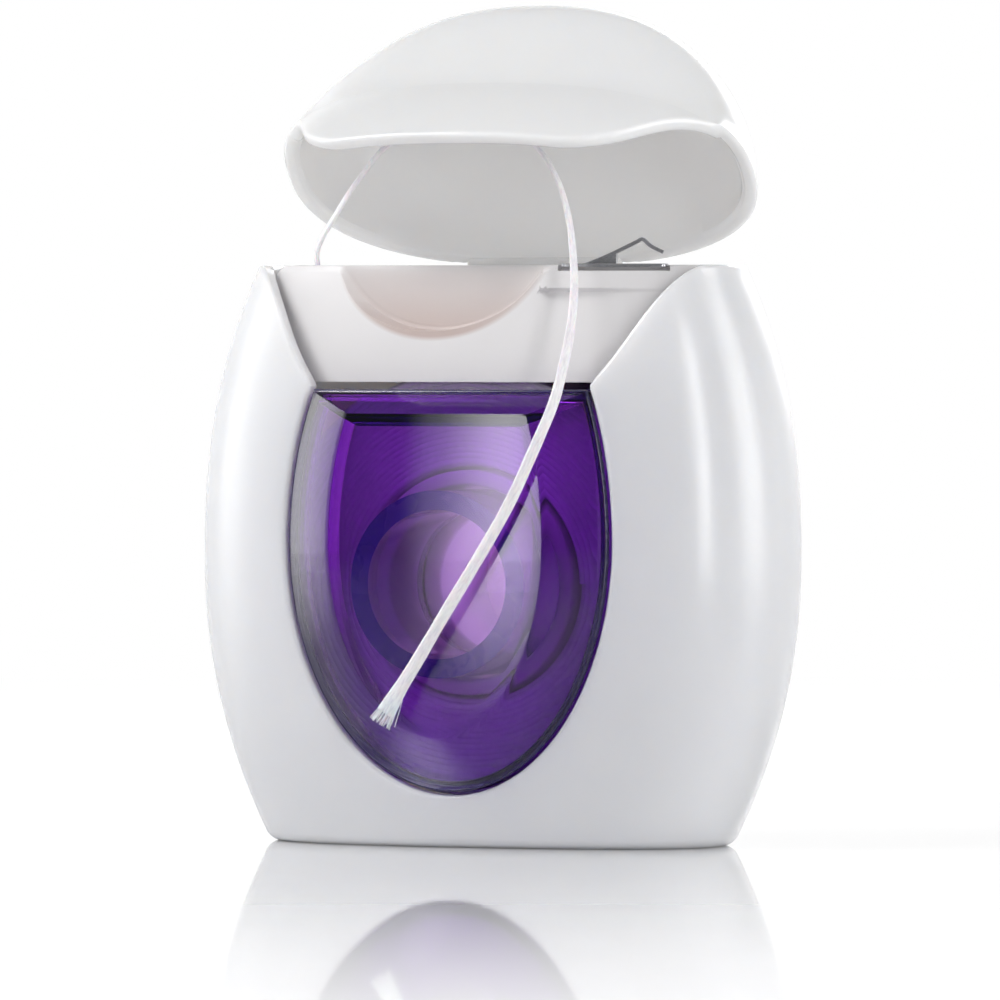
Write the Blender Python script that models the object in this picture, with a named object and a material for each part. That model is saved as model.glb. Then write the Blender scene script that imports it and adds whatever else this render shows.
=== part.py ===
# Dental floss dispenser: a barrel-shaped case with a clear bevelled window, a deck with a
# finger scoop and a steel cutter, a flip lid with a front tongue, and a spool of floss inside.
# X runs to the right, Y to the back and Z up. The origin is the middle of the base.
import bpy
import bmesh
from math import acos, atan2, cos, hypot, pi, radians, sin
from mathutils import Matrix, Vector

mm = 0.001

# Fits, walls and how finely curves are cut
fit_gap = 0.3 * mm
overrun = 4.0 * mm
weld_distance = 0.001 * mm
smooth_angle = radians(32)
window_smooth_angle = radians(24)
cutter_smooth_angle = radians(20)
tube_segments = 40
rod_segments = 20
case_wall = 1.3 * mm
lid_wall = 1.2 * mm
insert_wall = 1.2 * mm

# Case, widest a little below the middle of its height
case_half_width = 26.3 * mm
case_half_depth = 13.2 * mm
deck_height = 48.7 * mm
widest_height = 24.5 * mm
foot_round = 0.8 * mm
plan_power_share = 2.4
top_width_drop_share = 0.185
top_depth_drop_share = 0.227
top_curve_share = 2.3
foot_width_drop_share = 0.225
foot_depth_drop_share = 0.24
foot_curve_share = 2.14
case_segments = 64
case_levels = 14

# Notch that the lid's tongue fills, in front view
notch_top_half_width = 19.9 * mm
notch_foot_half_width = 13.1 * mm
notch_rise = 9.3 * mm
notch_back = 3.6 * mm
notch_upper_pull_share = (0.603, 0.806)
notch_lower_pull_share = (0.368, 0.312)
notch_steps = 8

# Window: an upright ellipse, cut flat at the top
window_half_width = 14.8 * mm
window_middle_height = 25.5 * mm
window_lower_radius = 21.1 * mm
window_upper_radius = 24.9 * mm
window_top_height = 38.6 * mm
window_plate = 1.2 * mm
window_bevel_width = 4.75 * mm
window_top_bevel = 2.0 * mm
window_proud = 1.5 * mm
window_bevel_middle_share = 0.5
window_bevel_bulge_share = 0.42
window_face_shares = (0.82, 0.6, 0.36, 0.14)
window_sunk = 0.25 * mm
window_skirt = 3.0 * mm
window_skirt_wall = 1.1 * mm
window_top_points = 8
window_segments = 40

# Hub tubes and spool
hub_height = 22.1 * mm
hub_radius = 7.8 * mm
hub_wall = 1.6 * mm
hub_gap = 4.0 * mm
core_wall = 1.3 * mm
core_half_length = 7.0 * mm
winding_radius = 18.0 * mm
winding_half_width = 6.7 * mm
winding_edge_round = 1.4 * mm
winding_edge_shares = ((1.6, 0.0), (0.5, 0.35), (0.0, 1.3))
winding_segments = 56

# Deck insert, with its finger scoop, floss hole and cutter seat
panel_recess = 3.2 * mm
insert_height = 9.8 * mm
scoop_middle_share = -0.1103
scoop_forward_share = 0.7576
scoop_depth = 6.2 * mm
scoop_width_radius = 12.0 * mm
scoop_depth_radius = 8.0 * mm
scoop_height_radius = 11.0 * mm
scoop_segments = 36
scoop_levels = 22
exit_side_share = -0.5856
exit_forward_share = 0.2576
exit_radius = 0.95 * mm
exit_side = case_half_width * exit_side_share
exit_back = -case_half_depth * exit_forward_share
seat_width = 11.4 * mm
seat_height = 2.1 * mm
seat_proud = 0.9 * mm
seat_back = 1.5 * mm
support_front = 0.8 * mm
support_width = 5.0 * mm
support_reach = 2.4 * mm
support_foot_height = 27.0 * mm

# Steel cutter
cutter_length = 8.8 * mm
cutter_width = 2.8 * mm
cutter_sheet = 0.3 * mm
cutter_pocket_depth = 0.5 * mm
cutter_side_share = 0.4697
cutter_forward_share = 0.36
cutter_side = case_half_width * cutter_side_share
cutter_back = -case_half_depth * cutter_forward_share
cutter_turn = radians(17)
tongue_width = 1.4 * mm
tongue_rise = 2.3 * mm
tongue_drop = 1.3 * mm
tongue_peak_share = 0.76
tongue_root_share = 0.2
tongue_end_share = 0.96

# Lid, whose dome carries on from the case's sides and leans forward as it rises
lid_rise = 14.5 * mm
dome_power_share = 2.3
dome_start_angle = radians(12)
dome_lean_share = 0.3
dome_levels = 9
dome_crown_share = 0.5
tongue_levels = 5
lid_open_angle = radians(51)
hinge_bead_radius = 0.55 * mm
hinge_bead_length = 14.0 * mm

# Floss
floss_radius = 0.45 * mm
floss_step = 2.4 * mm
feed_back = -1.6 * mm
route_steps = 24


def new_material(name, colour, roughness, metallic=0.0, alpha=1.0):
    material = bpy.data.materials.new(name)
    material.use_nodes = True
    shader = material.node_tree.nodes["Principled BSDF"]
    shader.inputs["Base Color"].default_value = (*colour, 1)
    shader.inputs["Roughness"].default_value = roughness
    shader.inputs["Metallic"].default_value = metallic
    shader.inputs["Alpha"].default_value = alpha
    return material


def new_object(name, mesh_maker):
    work = bmesh.new()
    mesh_maker(work)
    bmesh.ops.recalc_face_normals(work, faces=work.faces)
    mesh = bpy.data.meshes.new(name)
    work.to_mesh(mesh)
    work.free()
    shape = bpy.data.objects.new(name, mesh)
    bpy.context.collection.objects.link(shape)
    return shape


def combine(shape, tool, operation):
    """Cuts, joins or keeps with a tool, which is used up."""
    step = shape.modifiers.new(operation.lower(), "BOOLEAN")
    step.operation = operation
    step.solver = "EXACT"
    step.object = tool
    bpy.context.view_layer.update()
    graph = bpy.context.evaluated_depsgraph_get()
    mesh = bpy.data.meshes.new_from_object(shape.evaluated_get(graph))
    shape.modifiers.clear()
    old_mesh = shape.data
    shape.data = mesh
    mesh.name = shape.name
    bpy.data.meshes.remove(old_mesh)
    bpy.data.objects.remove(tool)
    return shape


def finish(shape, material, sharp_angle=smooth_angle):
    work = bmesh.new()
    work.from_mesh(shape.data)
    bmesh.ops.remove_doubles(work, verts=work.verts, dist=weld_distance)
    bmesh.ops.dissolve_degenerate(work, edges=work.edges, dist=weld_distance)
    work.to_mesh(shape.data)
    work.free()
    shape.data.materials.clear()
    shape.data.materials.append(material)
    shape.data.shade_smooth()
    shape.data.set_sharp_from_angle(angle=sharp_angle)
    return shape


def loft(work, rings):
    """Skins a stack of rings with equal counts and closes both ends."""
    made = [[work.verts.new(p) for p in ring] for ring in rings]
    count = len(rings[0])
    for low, high in zip(made, made[1:]):
        for i in range(count):
            j = (i + 1) % count
            work.faces.new((low[i], low[j], high[j], high[i]))
    work.faces.new(made[0][::-1])
    work.faces.new(made[-1])


def box(name, low, high):
    def make(work):
        middle = (Vector(low) + Vector(high)) / 2
        size = Vector(high) - Vector(low)
        place = Matrix.Translation(middle) @ Matrix.Diagonal((*size, 1))
        bmesh.ops.create_cube(work, size=1, matrix=place)

    return new_object(name, make)


def prism(name, outline, front, back):
    """A front-view outline of (x, z) points, run from front to back along Y."""
    rings = [[Vector((x, y, z)) for x, z in outline] for y in (front, back)]
    return new_object(name, lambda work: loft(work, rings))


def turned(name, profile, segments):
    """Turns a closed profile of (radius, y) points about the Y axis."""

    def make(work):
        rings = []
        for i in range(segments):
            angle = 2 * pi * i / segments
            rings.append([work.verts.new((r * cos(angle), y, r * sin(angle))) for r, y in profile])
        for i, ring in enumerate(rings):
            following = rings[(i + 1) % segments]
            for j in range(len(profile)):
                k = (j + 1) % len(profile)
                work.faces.new((ring[j], ring[k], following[k], following[j]))

    return new_object(name, make)


def tube(name, outer, wall, front, back):
    inner = outer - wall
    profile = [(inner, front), (outer, front), (outer, back), (inner, back)]
    return turned(name, profile, tube_segments)


# Body outline

def case_section(z):
    """Half width and half depth of the case's outside at a height."""
    if z > widest_height:
        climb = (z - widest_height) / (deck_height - widest_height)
        curve = min(climb, 1) ** top_curve_share
        width_drop, depth_drop = top_width_drop_share * curve, top_depth_drop_share * curve
    else:
        curve = ((widest_height - z) / widest_height) ** foot_curve_share
        width_drop, depth_drop = foot_width_drop_share * curve, foot_depth_drop_share * curve
    return case_half_width * (1 - width_drop), case_half_depth * (1 - depth_drop)


def plan_ring(half_width, front_depth, rear_depth, z, forward=0):
    """The case's outline in plan at a height, moved forward where it leans."""
    ring = []
    for i in range(case_segments):
        angle = 2 * pi * (i + 0.5) / case_segments
        c, s = cos(angle), sin(angle)
        depth = rear_depth if s > 0 else front_depth
        x = half_width * abs(c) ** (2 / plan_power_share) * (1 if c > 0 else -1)
        y = depth * abs(s) ** (2 / plan_power_share) * (1 if s > 0 else -1)
        ring.append(Vector((x, y - forward, z)))
    return ring


def body_rings(low, high, side_inset, front_inset, levels=case_levels):
    rings = []
    for i in range(levels + 1):
        z = low + (high - low) * i / levels
        width, depth = case_section(z)
        rings.append(plan_ring(width - side_inset, depth - front_inset, depth - side_inset, z))
    return rings


def front_face(x, z, inset):
    """Y of the case's outside at a place in front view, moved in by an inset."""
    width, depth = case_section(z)
    across = min(abs(x) / width, 1)
    return -depth * (1 - across**plan_power_share) ** (1 / plan_power_share) + inset


def notch_side(gap):
    """Right edge of the notch from the deck down, moved in by a gap."""
    low = window_top_height + gap
    top = Vector((notch_top_half_width, deck_height))
    foot = Vector((notch_foot_half_width, deck_height - notch_rise))
    span = Vector((top.x - foot.x, top.y - foot.y))
    upper = foot + Vector((span.x * notch_upper_pull_share[0], span.y * notch_upper_pull_share[1]))
    lower = foot + Vector((span.x * notch_lower_pull_share[0], span.y * notch_lower_pull_share[1]))
    points = []
    for i in range(notch_steps + 1):
        t = i / notch_steps
        a, b, c, d = (1 - t) ** 3, 3 * t * (1 - t) ** 2, 3 * t * t * (1 - t), t**3
        place = a * top + b * upper + c * lower + d * foot
        along = (1 - t) ** 2 * (upper - top) + 2 * t * (1 - t) * (lower - upper) + t * t * (foot - lower)
        inward = Vector((along.y, -along.x)).normalized()
        points.append(place + inward * gap)
    points.append(Vector((window_edge_width(window_top_height) - gap, low)))
    return points


def window_edge_width(z):
    """Half width of the window at a height."""
    radius = window_upper_radius if z > window_middle_height else window_lower_radius
    share = min(abs(z - window_middle_height) / radius, 1)
    return window_half_width * (1 - share * share) ** 0.5


def window_outline(inset, top_inset):
    """Right corner, then down round the foot and up the left side, then back along the top."""
    low_angle = -pi / 2
    top = window_top_height - top_inset
    half = window_half_width - inset
    high = window_upper_radius - inset
    deep = window_lower_radius - inset
    start = acos(min(1, max(0, 1 - ((top - window_middle_height) / high) ** 2)) ** 0.5)
    side = []
    steps = window_segments // 2
    for i in range(steps + 1):
        angle = start + (low_angle - start) * i / steps
        rise = high if angle > 0 else deep
        side.append((half * cos(angle), window_middle_height + rise * sin(angle)))
    left = [(-x, z) for x, z in side[-2::-1]]
    across = side[0][0]
    run = [(-across + 2 * across * i / window_top_points, top) for i in range(1, window_top_points)]
    return side + left + run


# Pieces

def make_case(white):
    foot_width, foot_depth = case_section(0)
    foot = plan_ring(foot_width - foot_round, foot_depth - foot_round, foot_depth - foot_round, 0)
    rings = [foot] + body_rings(foot_round, deck_height, 0, 0)
    shell = new_object("case_shell", lambda work: loft(work, rings))
    inside = body_rings(case_wall, deck_height + fit_gap, case_wall, case_wall)
    combine(shell, new_object("inside", lambda work: loft(work, inside)), "DIFFERENCE")

    # Ledges at both sides carry the deck insert, behind the floss's way up
    inner_rings = body_rings(case_wall / 2, deck_height, case_wall / 2, case_wall / 2)
    ledge_top = deck_height - insert_height - fit_gap
    for side in (-1, 1):
        inner = case_section(ledge_top)[0] - case_wall - support_reach
        edges = sorted((side * inner, side * (case_half_width + overrun)))
        ledge = box(
            "ledge",
            (edges[0], support_front, support_foot_height),
            (edges[1], support_front + support_width, ledge_top),
        )
        combine(ledge, new_object("skin", lambda work: loft(work, inner_rings)), "INTERSECT")
        combine(shell, ledge, "UNION")

    # Rear hub tube
    rear = case_section(hub_height - hub_radius)[1] - case_wall / 2
    hub = tube("hub", hub_radius, hub_wall, hub_gap / 2, rear)
    hub.data.transform(Matrix.Translation((0, 0, hub_height)))
    combine(shell, hub, "UNION")

    # Notch and window opening in one cut
    right = notch_side(0)
    above = Vector((notch_top_half_width, deck_height + overrun))
    opening = [(p.x, p.y) for p in [above] + right]
    window = window_outline(0, 0)
    sides = window[1 : window_segments]
    outline = opening + sides + [(-x, z) for x, z in opening[::-1]]
    front = -(case_half_depth + overrun)
    combine(shell, prism("opening", outline, front, -notch_back), "DIFFERENCE")

    # Trough for the lid's hinge bead
    trough_length = hinge_bead_length / 2 + fit_gap
    trough = turned_along_x("trough", hinge_bead_radius + fit_gap, trough_length)
    trough.data.transform(Matrix.Translation(hinge_place()))
    combine(shell, trough, "DIFFERENCE")
    return finish(shell, white)


def turned_along_x(name, radius, half_length):
    def make(work):
        bmesh.ops.create_cone(
            work,
            cap_ends=True,
            segments=rod_segments,
            radius1=radius,
            radius2=radius,
            depth=2 * half_length,
            matrix=Matrix.Rotation(pi / 2, 4, "Y"),
        )

    return new_object(name, make)


def hinge_place():
    rear = case_section(deck_height)[1] - case_wall / 2
    return Vector((0, rear, deck_height + fit_gap / 2))


def make_window(clear):
    """A dished plate built ring by ring, with a bevel, a raised face and a skirt."""
    edge = fit_gap
    half_bevel = window_bevel_width * window_bevel_middle_share
    half_top_bevel = window_top_bevel * window_bevel_middle_share
    levels = (
        (edge, edge, window_sunk),
        (edge + half_bevel, edge + half_top_bevel, -window_proud * window_bevel_bulge_share),
        (edge + window_bevel_width, edge + window_top_bevel, -window_proud),
    )

    def surface(depth_extra, wall_inset):
        rings = []
        for side_inset, top_inset, inset in levels:
            outline = window_outline(side_inset + wall_inset, top_inset + wall_inset)
            rings.append([Vector((x, front_face(x, z, inset + depth_extra), z)) for x, z in outline])
        last = window_outline(levels[-1][0] + wall_inset, levels[-1][1] + wall_inset)
        middle = (window_middle_height + hub_height) / 2
        for share in window_face_shares:
            ring = []
            for x, z in last:
                x, z = x * share, middle + (z - middle) * share
                ring.append(Vector((x, front_face(x, z, levels[-1][2] + depth_extra), z)))
            rings.append(ring)
        return rings

    def make(work):
        outer = surface(0, 0)
        inner = surface(window_plate, window_skirt_wall)
        skirt_out = [p + Vector((0, window_skirt, 0)) for p in outer[0]]
        skirt_in = [Vector((p.x, q.y, p.z)) for p, q in zip(inner[0], skirt_out)]
        stack = outer[::-1] + [skirt_out, skirt_in] + inner
        made = [[work.verts.new(p) for p in ring] for ring in stack]
        count = len(made[0])
        for low, high in zip(made, made[1:]):
            for i in range(count):
                j = (i + 1) % count
                work.faces.new((low[i], low[j], high[j], high[i]))
        for ring in (made[0], made[-1]):
            centre = sum((v.co for v in ring), Vector()) / count
            hub = work.verts.new(centre)
            for i in range(count):
                work.faces.new((ring[i], ring[(i + 1) % count], hub))

    cover = new_object("window_cover", make)
    front = front_face(hub_radius, hub_height, window_plate / 2 - window_proud)
    hub = tube("hub", hub_radius, hub_wall, front, -hub_gap / 2)
    hub.data.transform(Matrix.Translation((0, 0, hub_height)))
    combine(cover, hub, "UNION")
    return finish(cover, clear, window_smooth_angle)


def insert_rings(low, high, extra, proud):
    rings = []
    for z in (low, (low + high) / 2, high):
        width, depth = case_section(z)
        side = case_wall + fit_gap + extra
        rings.append(plan_ring(width - side, depth - panel_recess - extra + proud, depth - side, z))
    return rings


def ellipsoid(name, extra):
    def make(work):
        bmesh.ops.create_uvsphere(work, u_segments=scoop_segments, v_segments=scoop_levels, radius=1)

    ball = new_object(name, make)
    size = (scoop_width_radius + extra, scoop_depth_radius + extra, scoop_height_radius + extra)
    centre = (
        case_half_width * scoop_middle_share,
        -case_half_depth * scoop_forward_share,
        deck_height - scoop_depth + scoop_height_radius,
    )
    ball.data.transform(Matrix.Translation(centre) @ Matrix.Diagonal((*size, 1)))
    return ball


def make_insert(white):
    low = deck_height - insert_height
    outer = insert_rings(low, deck_height, 0, 0)
    insert = new_object("deck_insert", lambda work: loft(work, outer))

    # Cutter seat, a step proud of the panel
    seat = box(
        "seat",
        (cutter_side - seat_width / 2, -case_half_depth, deck_height - seat_height),
        (cutter_side + seat_width / 2, -seat_back, deck_height),
    )
    proud_rings = insert_rings(low, deck_height, 0, seat_proud)
    combine(seat, new_object("skin", lambda work: loft(work, proud_rings)), "INTERSECT")
    combine(insert, seat, "UNION")
    combine(insert, ellipsoid("scoop", 0), "DIFFERENCE")

    # Hollow below the deck, bulging round the scoop
    hollow_rings = insert_rings(low - fit_gap, deck_height - insert_wall, insert_wall, 0)
    hollow = new_object("hollow", lambda work: loft(work, hollow_rings))
    combine(hollow, ellipsoid("scoop", insert_wall), "DIFFERENCE")
    combine(insert, hollow, "DIFFERENCE")

    # Pocket for the cutter and hole for the floss
    half_length = cutter_length / 2 + fit_gap
    half_width = cutter_width / 2 + fit_gap
    pocket = box(
        "pocket",
        (-half_length, -half_width - overrun, -cutter_pocket_depth),
        (half_length, half_width, fit_gap),
    )
    pocket.data.transform(cutter_place())
    combine(insert, pocket, "DIFFERENCE")

    def hole(work):
        place = Matrix.Translation((exit_side, exit_back, deck_height))
        bmesh.ops.create_cone(
            work,
            cap_ends=True,
            segments=rod_segments,
            radius1=exit_radius,
            radius2=exit_radius,
            depth=2 * insert_wall + fit_gap,
            matrix=place,
        )

    combine(insert, new_object("hole", hole), "DIFFERENCE")
    return finish(insert, white)


def cutter_place():
    place = Matrix.Translation((cutter_side, cutter_back, deck_height))
    return place @ Matrix.Rotation(cutter_turn, 4, "Z")


def make_cutter(steel):
    """A sheet with a tongue raised out of it, which rises to a peak and hooks down."""
    low = fit_gap - cutter_pocket_depth
    half_length, half_width = cutter_length / 2, cutter_width / 2
    plate = box(
        "floss_cutter",
        (-half_length, -half_width, low),
        (half_length, half_width, low + cutter_sheet),
    )
    root = -half_length + cutter_length * tongue_root_share
    peak = -half_length + cutter_length * tongue_peak_share
    end = -half_length + cutter_length * tongue_end_share
    half_tongue = tongue_width / 2
    slot = box(
        "slot",
        (root + cutter_sheet, -half_tongue - fit_gap, low - overrun),
        (end - fit_gap, half_tongue + fit_gap, low + overrun),
    )
    combine(plate, slot, "DIFFERENCE")
    top = low + tongue_rise
    under = [(root - cutter_sheet, low), (peak, top), (end, top - tongue_drop)]
    over = [(end, top - tongue_drop + 2 * cutter_sheet), (peak, top + cutter_sheet)]
    profile = under + over + [(root - cutter_sheet, low + cutter_sheet)]
    tongue = prism("tongue", profile, -half_tongue, half_tongue)
    combine(plate, tongue, "UNION")
    plate.data.transform(cutter_place())
    return finish(plate, steel, cutter_smooth_angle)


def lid_rings(wall, low):
    """Rings up the tongue and over the dome, moved in by a wall."""
    rings = body_rings(low, deck_height, wall, wall, tongue_levels)
    width, depth = case_section(deck_height)
    width, depth, rise = width - wall, depth - wall, lid_rise - wall
    power = 2 / dome_power_share
    start = sin(dome_start_angle) ** power
    for i in range(1, dome_levels + 1):
        sweep = (pi / 2 - dome_start_angle) * i / (dome_levels + dome_crown_share)
        angle = dome_start_angle + sweep
        shrink = (cos(angle) / cos(dome_start_angle)) ** power
        climb = rise * (sin(angle) ** power - start) / (1 - start)
        forward = dome_lean_share * climb * climb / lid_rise
        ring = plan_ring(width * shrink, depth * shrink, depth * shrink, deck_height + climb, forward)
        rings.append(ring)
    return rings


def make_lid(white):
    low = window_top_height - overrun
    lid = new_object("lid", lambda work: loft(work, lid_rings(0, low)))
    inside = new_object("inside", lambda work: loft(work, lid_rings(lid_wall, low - fit_gap)))
    combine(lid, inside, "DIFFERENCE")

    # All below the parting line goes, but for the tongue
    reach = case_half_width + overrun
    slab = box("slab", (-reach, -reach, low - overrun), (reach, reach, deck_height + fit_gap))
    right = [(p.x, p.y) for p in notch_side(fit_gap)]
    above = [(right[0][0], deck_height + overrun)]
    outline = above + right + [(-x, z) for x, z in right[::-1]] + [(-above[0][0], above[0][1])]
    tongue = prism("tongue", outline, -reach - overrun, -notch_back - fit_gap)
    combine(slab, tongue, "DIFFERENCE")
    combine(lid, slab, "DIFFERENCE")

    # Chamfer behind the hinge, which lands on the case when the lid stands open
    hinge = hinge_place()
    landing = box(
        "landing",
        (-reach, 0, -2 * reach),
        (reach, 2 * reach, fit_gap / 2),
    )
    landing.data.transform(Matrix.Translation(hinge) @ Matrix.Rotation(lid_open_angle, 4, "X"))
    combine(lid, landing, "DIFFERENCE")
    bead = turned_along_x("bead", hinge_bead_radius, hinge_bead_length / 2)
    bead.data.transform(Matrix.Translation(hinge))
    combine(lid, bead, "UNION")

    lid.data.transform(Matrix.Translation(-hinge))
    lid.location = hinge
    lid.rotation_euler = (-lid_open_angle, 0, 0)
    return finish(lid, white)


def make_core(paper):
    inner = hub_radius + fit_gap
    core = tube("bobbin_core", inner + core_wall, core_wall, -core_half_length, core_half_length)
    core.location = (0, 0, hub_height)
    return finish(core, paper)


def make_winding(wax):
    inner = hub_radius + fit_gap + core_wall + fit_gap
    half = winding_half_width
    corner = [
        (winding_radius - winding_edge_round * down, half - winding_edge_round * along)
        for down, along in winding_edge_shares
    ]
    front = [(radius, -y) for radius, y in corner]
    profile = [(inner, -half)] + front + corner[::-1] + [(inner, half)]
    winding = turned("floss_winding", profile, winding_segments)
    winding.location = (0, 0, hub_height)
    return finish(winding, wax)


def smooth_route(points, step):
    """Even points along a smooth curve through the route's own points."""
    ends = [points[0] * 2 - points[1]] + points + [points[-1] * 2 - points[-2]]
    fine = []
    for a, b, c, d in zip(ends, ends[1:], ends[2:], ends[3:]):
        for i in range(route_steps):
            t = i / route_steps
            fine.append(
                0.5 * (2 * b + (c - a) * t + (2 * a - 5 * b + 4 * c - d) * t * t)
                + 0.5 * (3 * b - a - 3 * c + d) * t**3
            )
    fine.append(points[-1])
    length = sum((q - p).length for p, q in zip(fine, fine[1:]))
    count = max(2, round(length / step))
    even, walked, target = [fine[0]], 0, length / count
    for p, q in zip(fine, fine[1:]):
        gap = (q - p).length
        while gap > 0 and walked + gap >= target and len(even) < count:
            even.append(p.lerp(q, (target - walked) / gap))
            target += length / count
        walked += gap
    even.append(fine[-1])
    return even, length


def make_cord(name, points, wax):
    route, length = smooth_route(points, floss_step)
    curve = bpy.data.curves.new(name, "CURVE")
    curve.dimensions = "3D"
    curve.bevel_depth = floss_radius
    curve.bevel_resolution = 2
    curve.use_fill_caps = True
    line = curve.splines.new("POLY")
    line.points.add(len(route) - 1)
    for spot, place in zip(line.points, route):
        spot.co = (*place, 1)
    curve.materials.append(wax)
    cord = bpy.data.objects.new(name, curve)
    bpy.context.collection.objects.link(cord)
    print(name, "length in mm", round(length / mm, 1))
    return cord


def feed_route():
    """From the left of the winding up to the hole in the deck."""
    run = winding_radius + fit_gap + floss_radius
    across, up = exit_side, deck_height - hub_height
    lean = acos(run / hypot(across, up))
    angle = atan2(up, across) + lean
    start = Vector((run * cos(angle), feed_back, hub_height + run * sin(angle)))
    top = Vector((exit_side, exit_back, deck_height - insert_wall / 2 - fit_gap / 2))
    under = top - Vector((0, 0, 2 * insert_wall))
    middle = start.lerp(under, 0.5)
    return [start, middle, under, top]


# The free stretch, from the hole up behind the lid's tongue, over the cutter's end and down
tail_route = (
    (-15.4 * mm, -3.4 * mm, 50.2 * mm),
    (-13.6 * mm, -3.6 * mm, 53.0 * mm),
    (-11.4 * mm, -3.6 * mm, 56.1 * mm),
    (-8.6 * mm, -3.4 * mm, 59.0 * mm),
    (-3.4 * mm, -3.1 * mm, 60.7 * mm),
    (1.6 * mm, -3.9 * mm, 60.6 * mm),
    (5.2 * mm, -5.6 * mm, 59.0 * mm),
    (8.0 * mm, -7.2 * mm, 56.1 * mm),
    (9.7 * mm, -8.5 * mm, 52.6 * mm),
    (10.6 * mm, -9.6 * mm, 49.0 * mm),
    (11.2 * mm, -11.0 * mm, 45.2 * mm),
    (11.1 * mm, -12.9 * mm, 40.5 * mm),
    (10.3 * mm, -14.4 * mm, 36.0 * mm),
    (6.7 * mm, -15.9 * mm, 27.6 * mm),
    (1.3 * mm, -16.3 * mm, 18.9 * mm),
    (-3.6 * mm, -16.0 * mm, 11.4 * mm),
)


def make_tail(wax):
    hole = Vector((exit_side, exit_back, deck_height - insert_wall / 2 + fit_gap / 2))
    return make_cord("floss_tail", [hole] + [Vector(p) for p in tail_route], wax)


def main():
    for item in list(bpy.data.objects):
        bpy.data.objects.remove(item)
    white = new_material("white polypropylene", (0.86, 0.86, 0.87), 0.28)
    violet = new_material("violet clear polystyrene", (0.16, 0.035, 0.36), 0.12, 0.0, 0.55)
    steel = new_material("stamped steel", (0.55, 0.55, 0.56), 0.3, 1.0)
    paper = new_material("core plastic", (0.75, 0.74, 0.72), 0.6)
    wax = new_material("waxed floss", (0.9, 0.9, 0.88), 0.7)
    make_case(white)
    make_insert(white)
    make_window(violet)
    make_cutter(steel)
    make_lid(white)
    make_core(paper)
    make_winding(wax)
    make_cord("floss_feed", feed_route(), wax)
    make_tail(wax)


main()
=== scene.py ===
import bpy
import bmesh
import numpy as np
from math import cos, pi, radians, sin, sqrt, tan
from mathutils import Matrix, Vector


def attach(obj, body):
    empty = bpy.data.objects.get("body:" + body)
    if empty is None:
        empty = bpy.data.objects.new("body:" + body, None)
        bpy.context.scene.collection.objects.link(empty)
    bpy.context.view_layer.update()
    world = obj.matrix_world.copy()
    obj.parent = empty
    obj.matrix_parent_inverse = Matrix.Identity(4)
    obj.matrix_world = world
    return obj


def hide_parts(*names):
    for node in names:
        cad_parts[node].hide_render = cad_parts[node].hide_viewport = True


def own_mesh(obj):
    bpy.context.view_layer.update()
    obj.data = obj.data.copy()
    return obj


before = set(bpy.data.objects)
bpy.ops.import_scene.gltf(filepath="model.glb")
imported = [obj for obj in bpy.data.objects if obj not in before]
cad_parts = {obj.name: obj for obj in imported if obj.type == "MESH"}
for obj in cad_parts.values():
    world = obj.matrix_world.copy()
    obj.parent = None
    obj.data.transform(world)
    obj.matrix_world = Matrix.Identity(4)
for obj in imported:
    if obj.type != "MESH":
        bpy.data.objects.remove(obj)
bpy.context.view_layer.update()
mm = 0.001
scene = bpy.context.scene


# Small helpers for colours and nodes

def hexColour(code):
    parts = [int(code[i:i + 2], 16) / 255 for i in (1, 3, 5)]
    linear = [p / 12.92 if p <= 0.04045 else ((p + 0.055) / 1.055) ** 2.4 for p in parts]
    return (*linear, 1.0)


def addNode(tree, kind, inputs=None, output=0, **settings):
    # each input is a value or another node's output; gives back the output that is asked for
    node = tree.nodes.new(kind)
    for name, value in settings.items():
        setattr(node, name, value)
    for socket, value in (inputs or {}).items():
        if isinstance(value, bpy.types.NodeSocket):
            tree.links.new(value, node.inputs[socket])
        else:
            node.inputs[socket].default_value = value
    return node.outputs[output] if node.outputs else None


def maths(tree, operation, *terms):
    return addNode(tree, "ShaderNodeMath", dict(enumerate(terms)), operation=operation)


def vectors(tree, operation, *terms):
    output = "Value" if operation in ("LENGTH", "DOT_PRODUCT") else "Vector"
    return addNode(tree, "ShaderNodeVectorMath", dict(enumerate(terms)), output, operation=operation)


def remap(tree, value, low, high, start, end, curve="LINEAR"):
    inputs = {"Value": value, "From Min": low, "From Max": high, "To Min": start, "To Max": end}
    return addNode(tree, "ShaderNodeMapRange", inputs, interpolation_type=curve)


def objectPlace(tree):
    return addNode(tree, "ShaderNodeTexCoord", output="Object")


def noise(tree, size, detail, distortion=0.0, place=None):
    # patches about size millimetres across
    place = objectPlace(tree) if place is None else place
    inputs = {"Vector": place, "Scale": 1 / (size * mm), "Detail": detail, "Distortion": distortion}
    return addNode(tree, "ShaderNodeTexNoise", inputs)


def bump(tree, height, strength, depth):
    return addNode(tree, "ShaderNodeBump", {"Height": height, "Strength": strength, "Distance": depth * mm})


def twoTones(tree, factor, dark, light, low=0.3, high=0.7):
    colour = addNode(tree, "ShaderNodeValToRGB", {"Fac": factor})
    for element, position, code in zip(colour.node.color_ramp.elements, (low, high), (dark, light)):
        element.position, element.color = position, hexColour(code)
    return colour


def mixShaders(tree, share, first, second):
    return addNode(tree, "ShaderNodeMixShader", {0: share, 1: first, 2: second})


def emission(tree, strength):
    return addNode(tree, "ShaderNodeEmission", {"Color": (1, 1, 1, 1), "Strength": strength})


def emptyTree(owner):
    owner.use_nodes = True
    owner.node_tree.nodes.clear()
    return owner.node_tree


def emptyMaterial(name):
    material = bpy.data.materials.new(name)
    return material, emptyTree(material)


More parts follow.
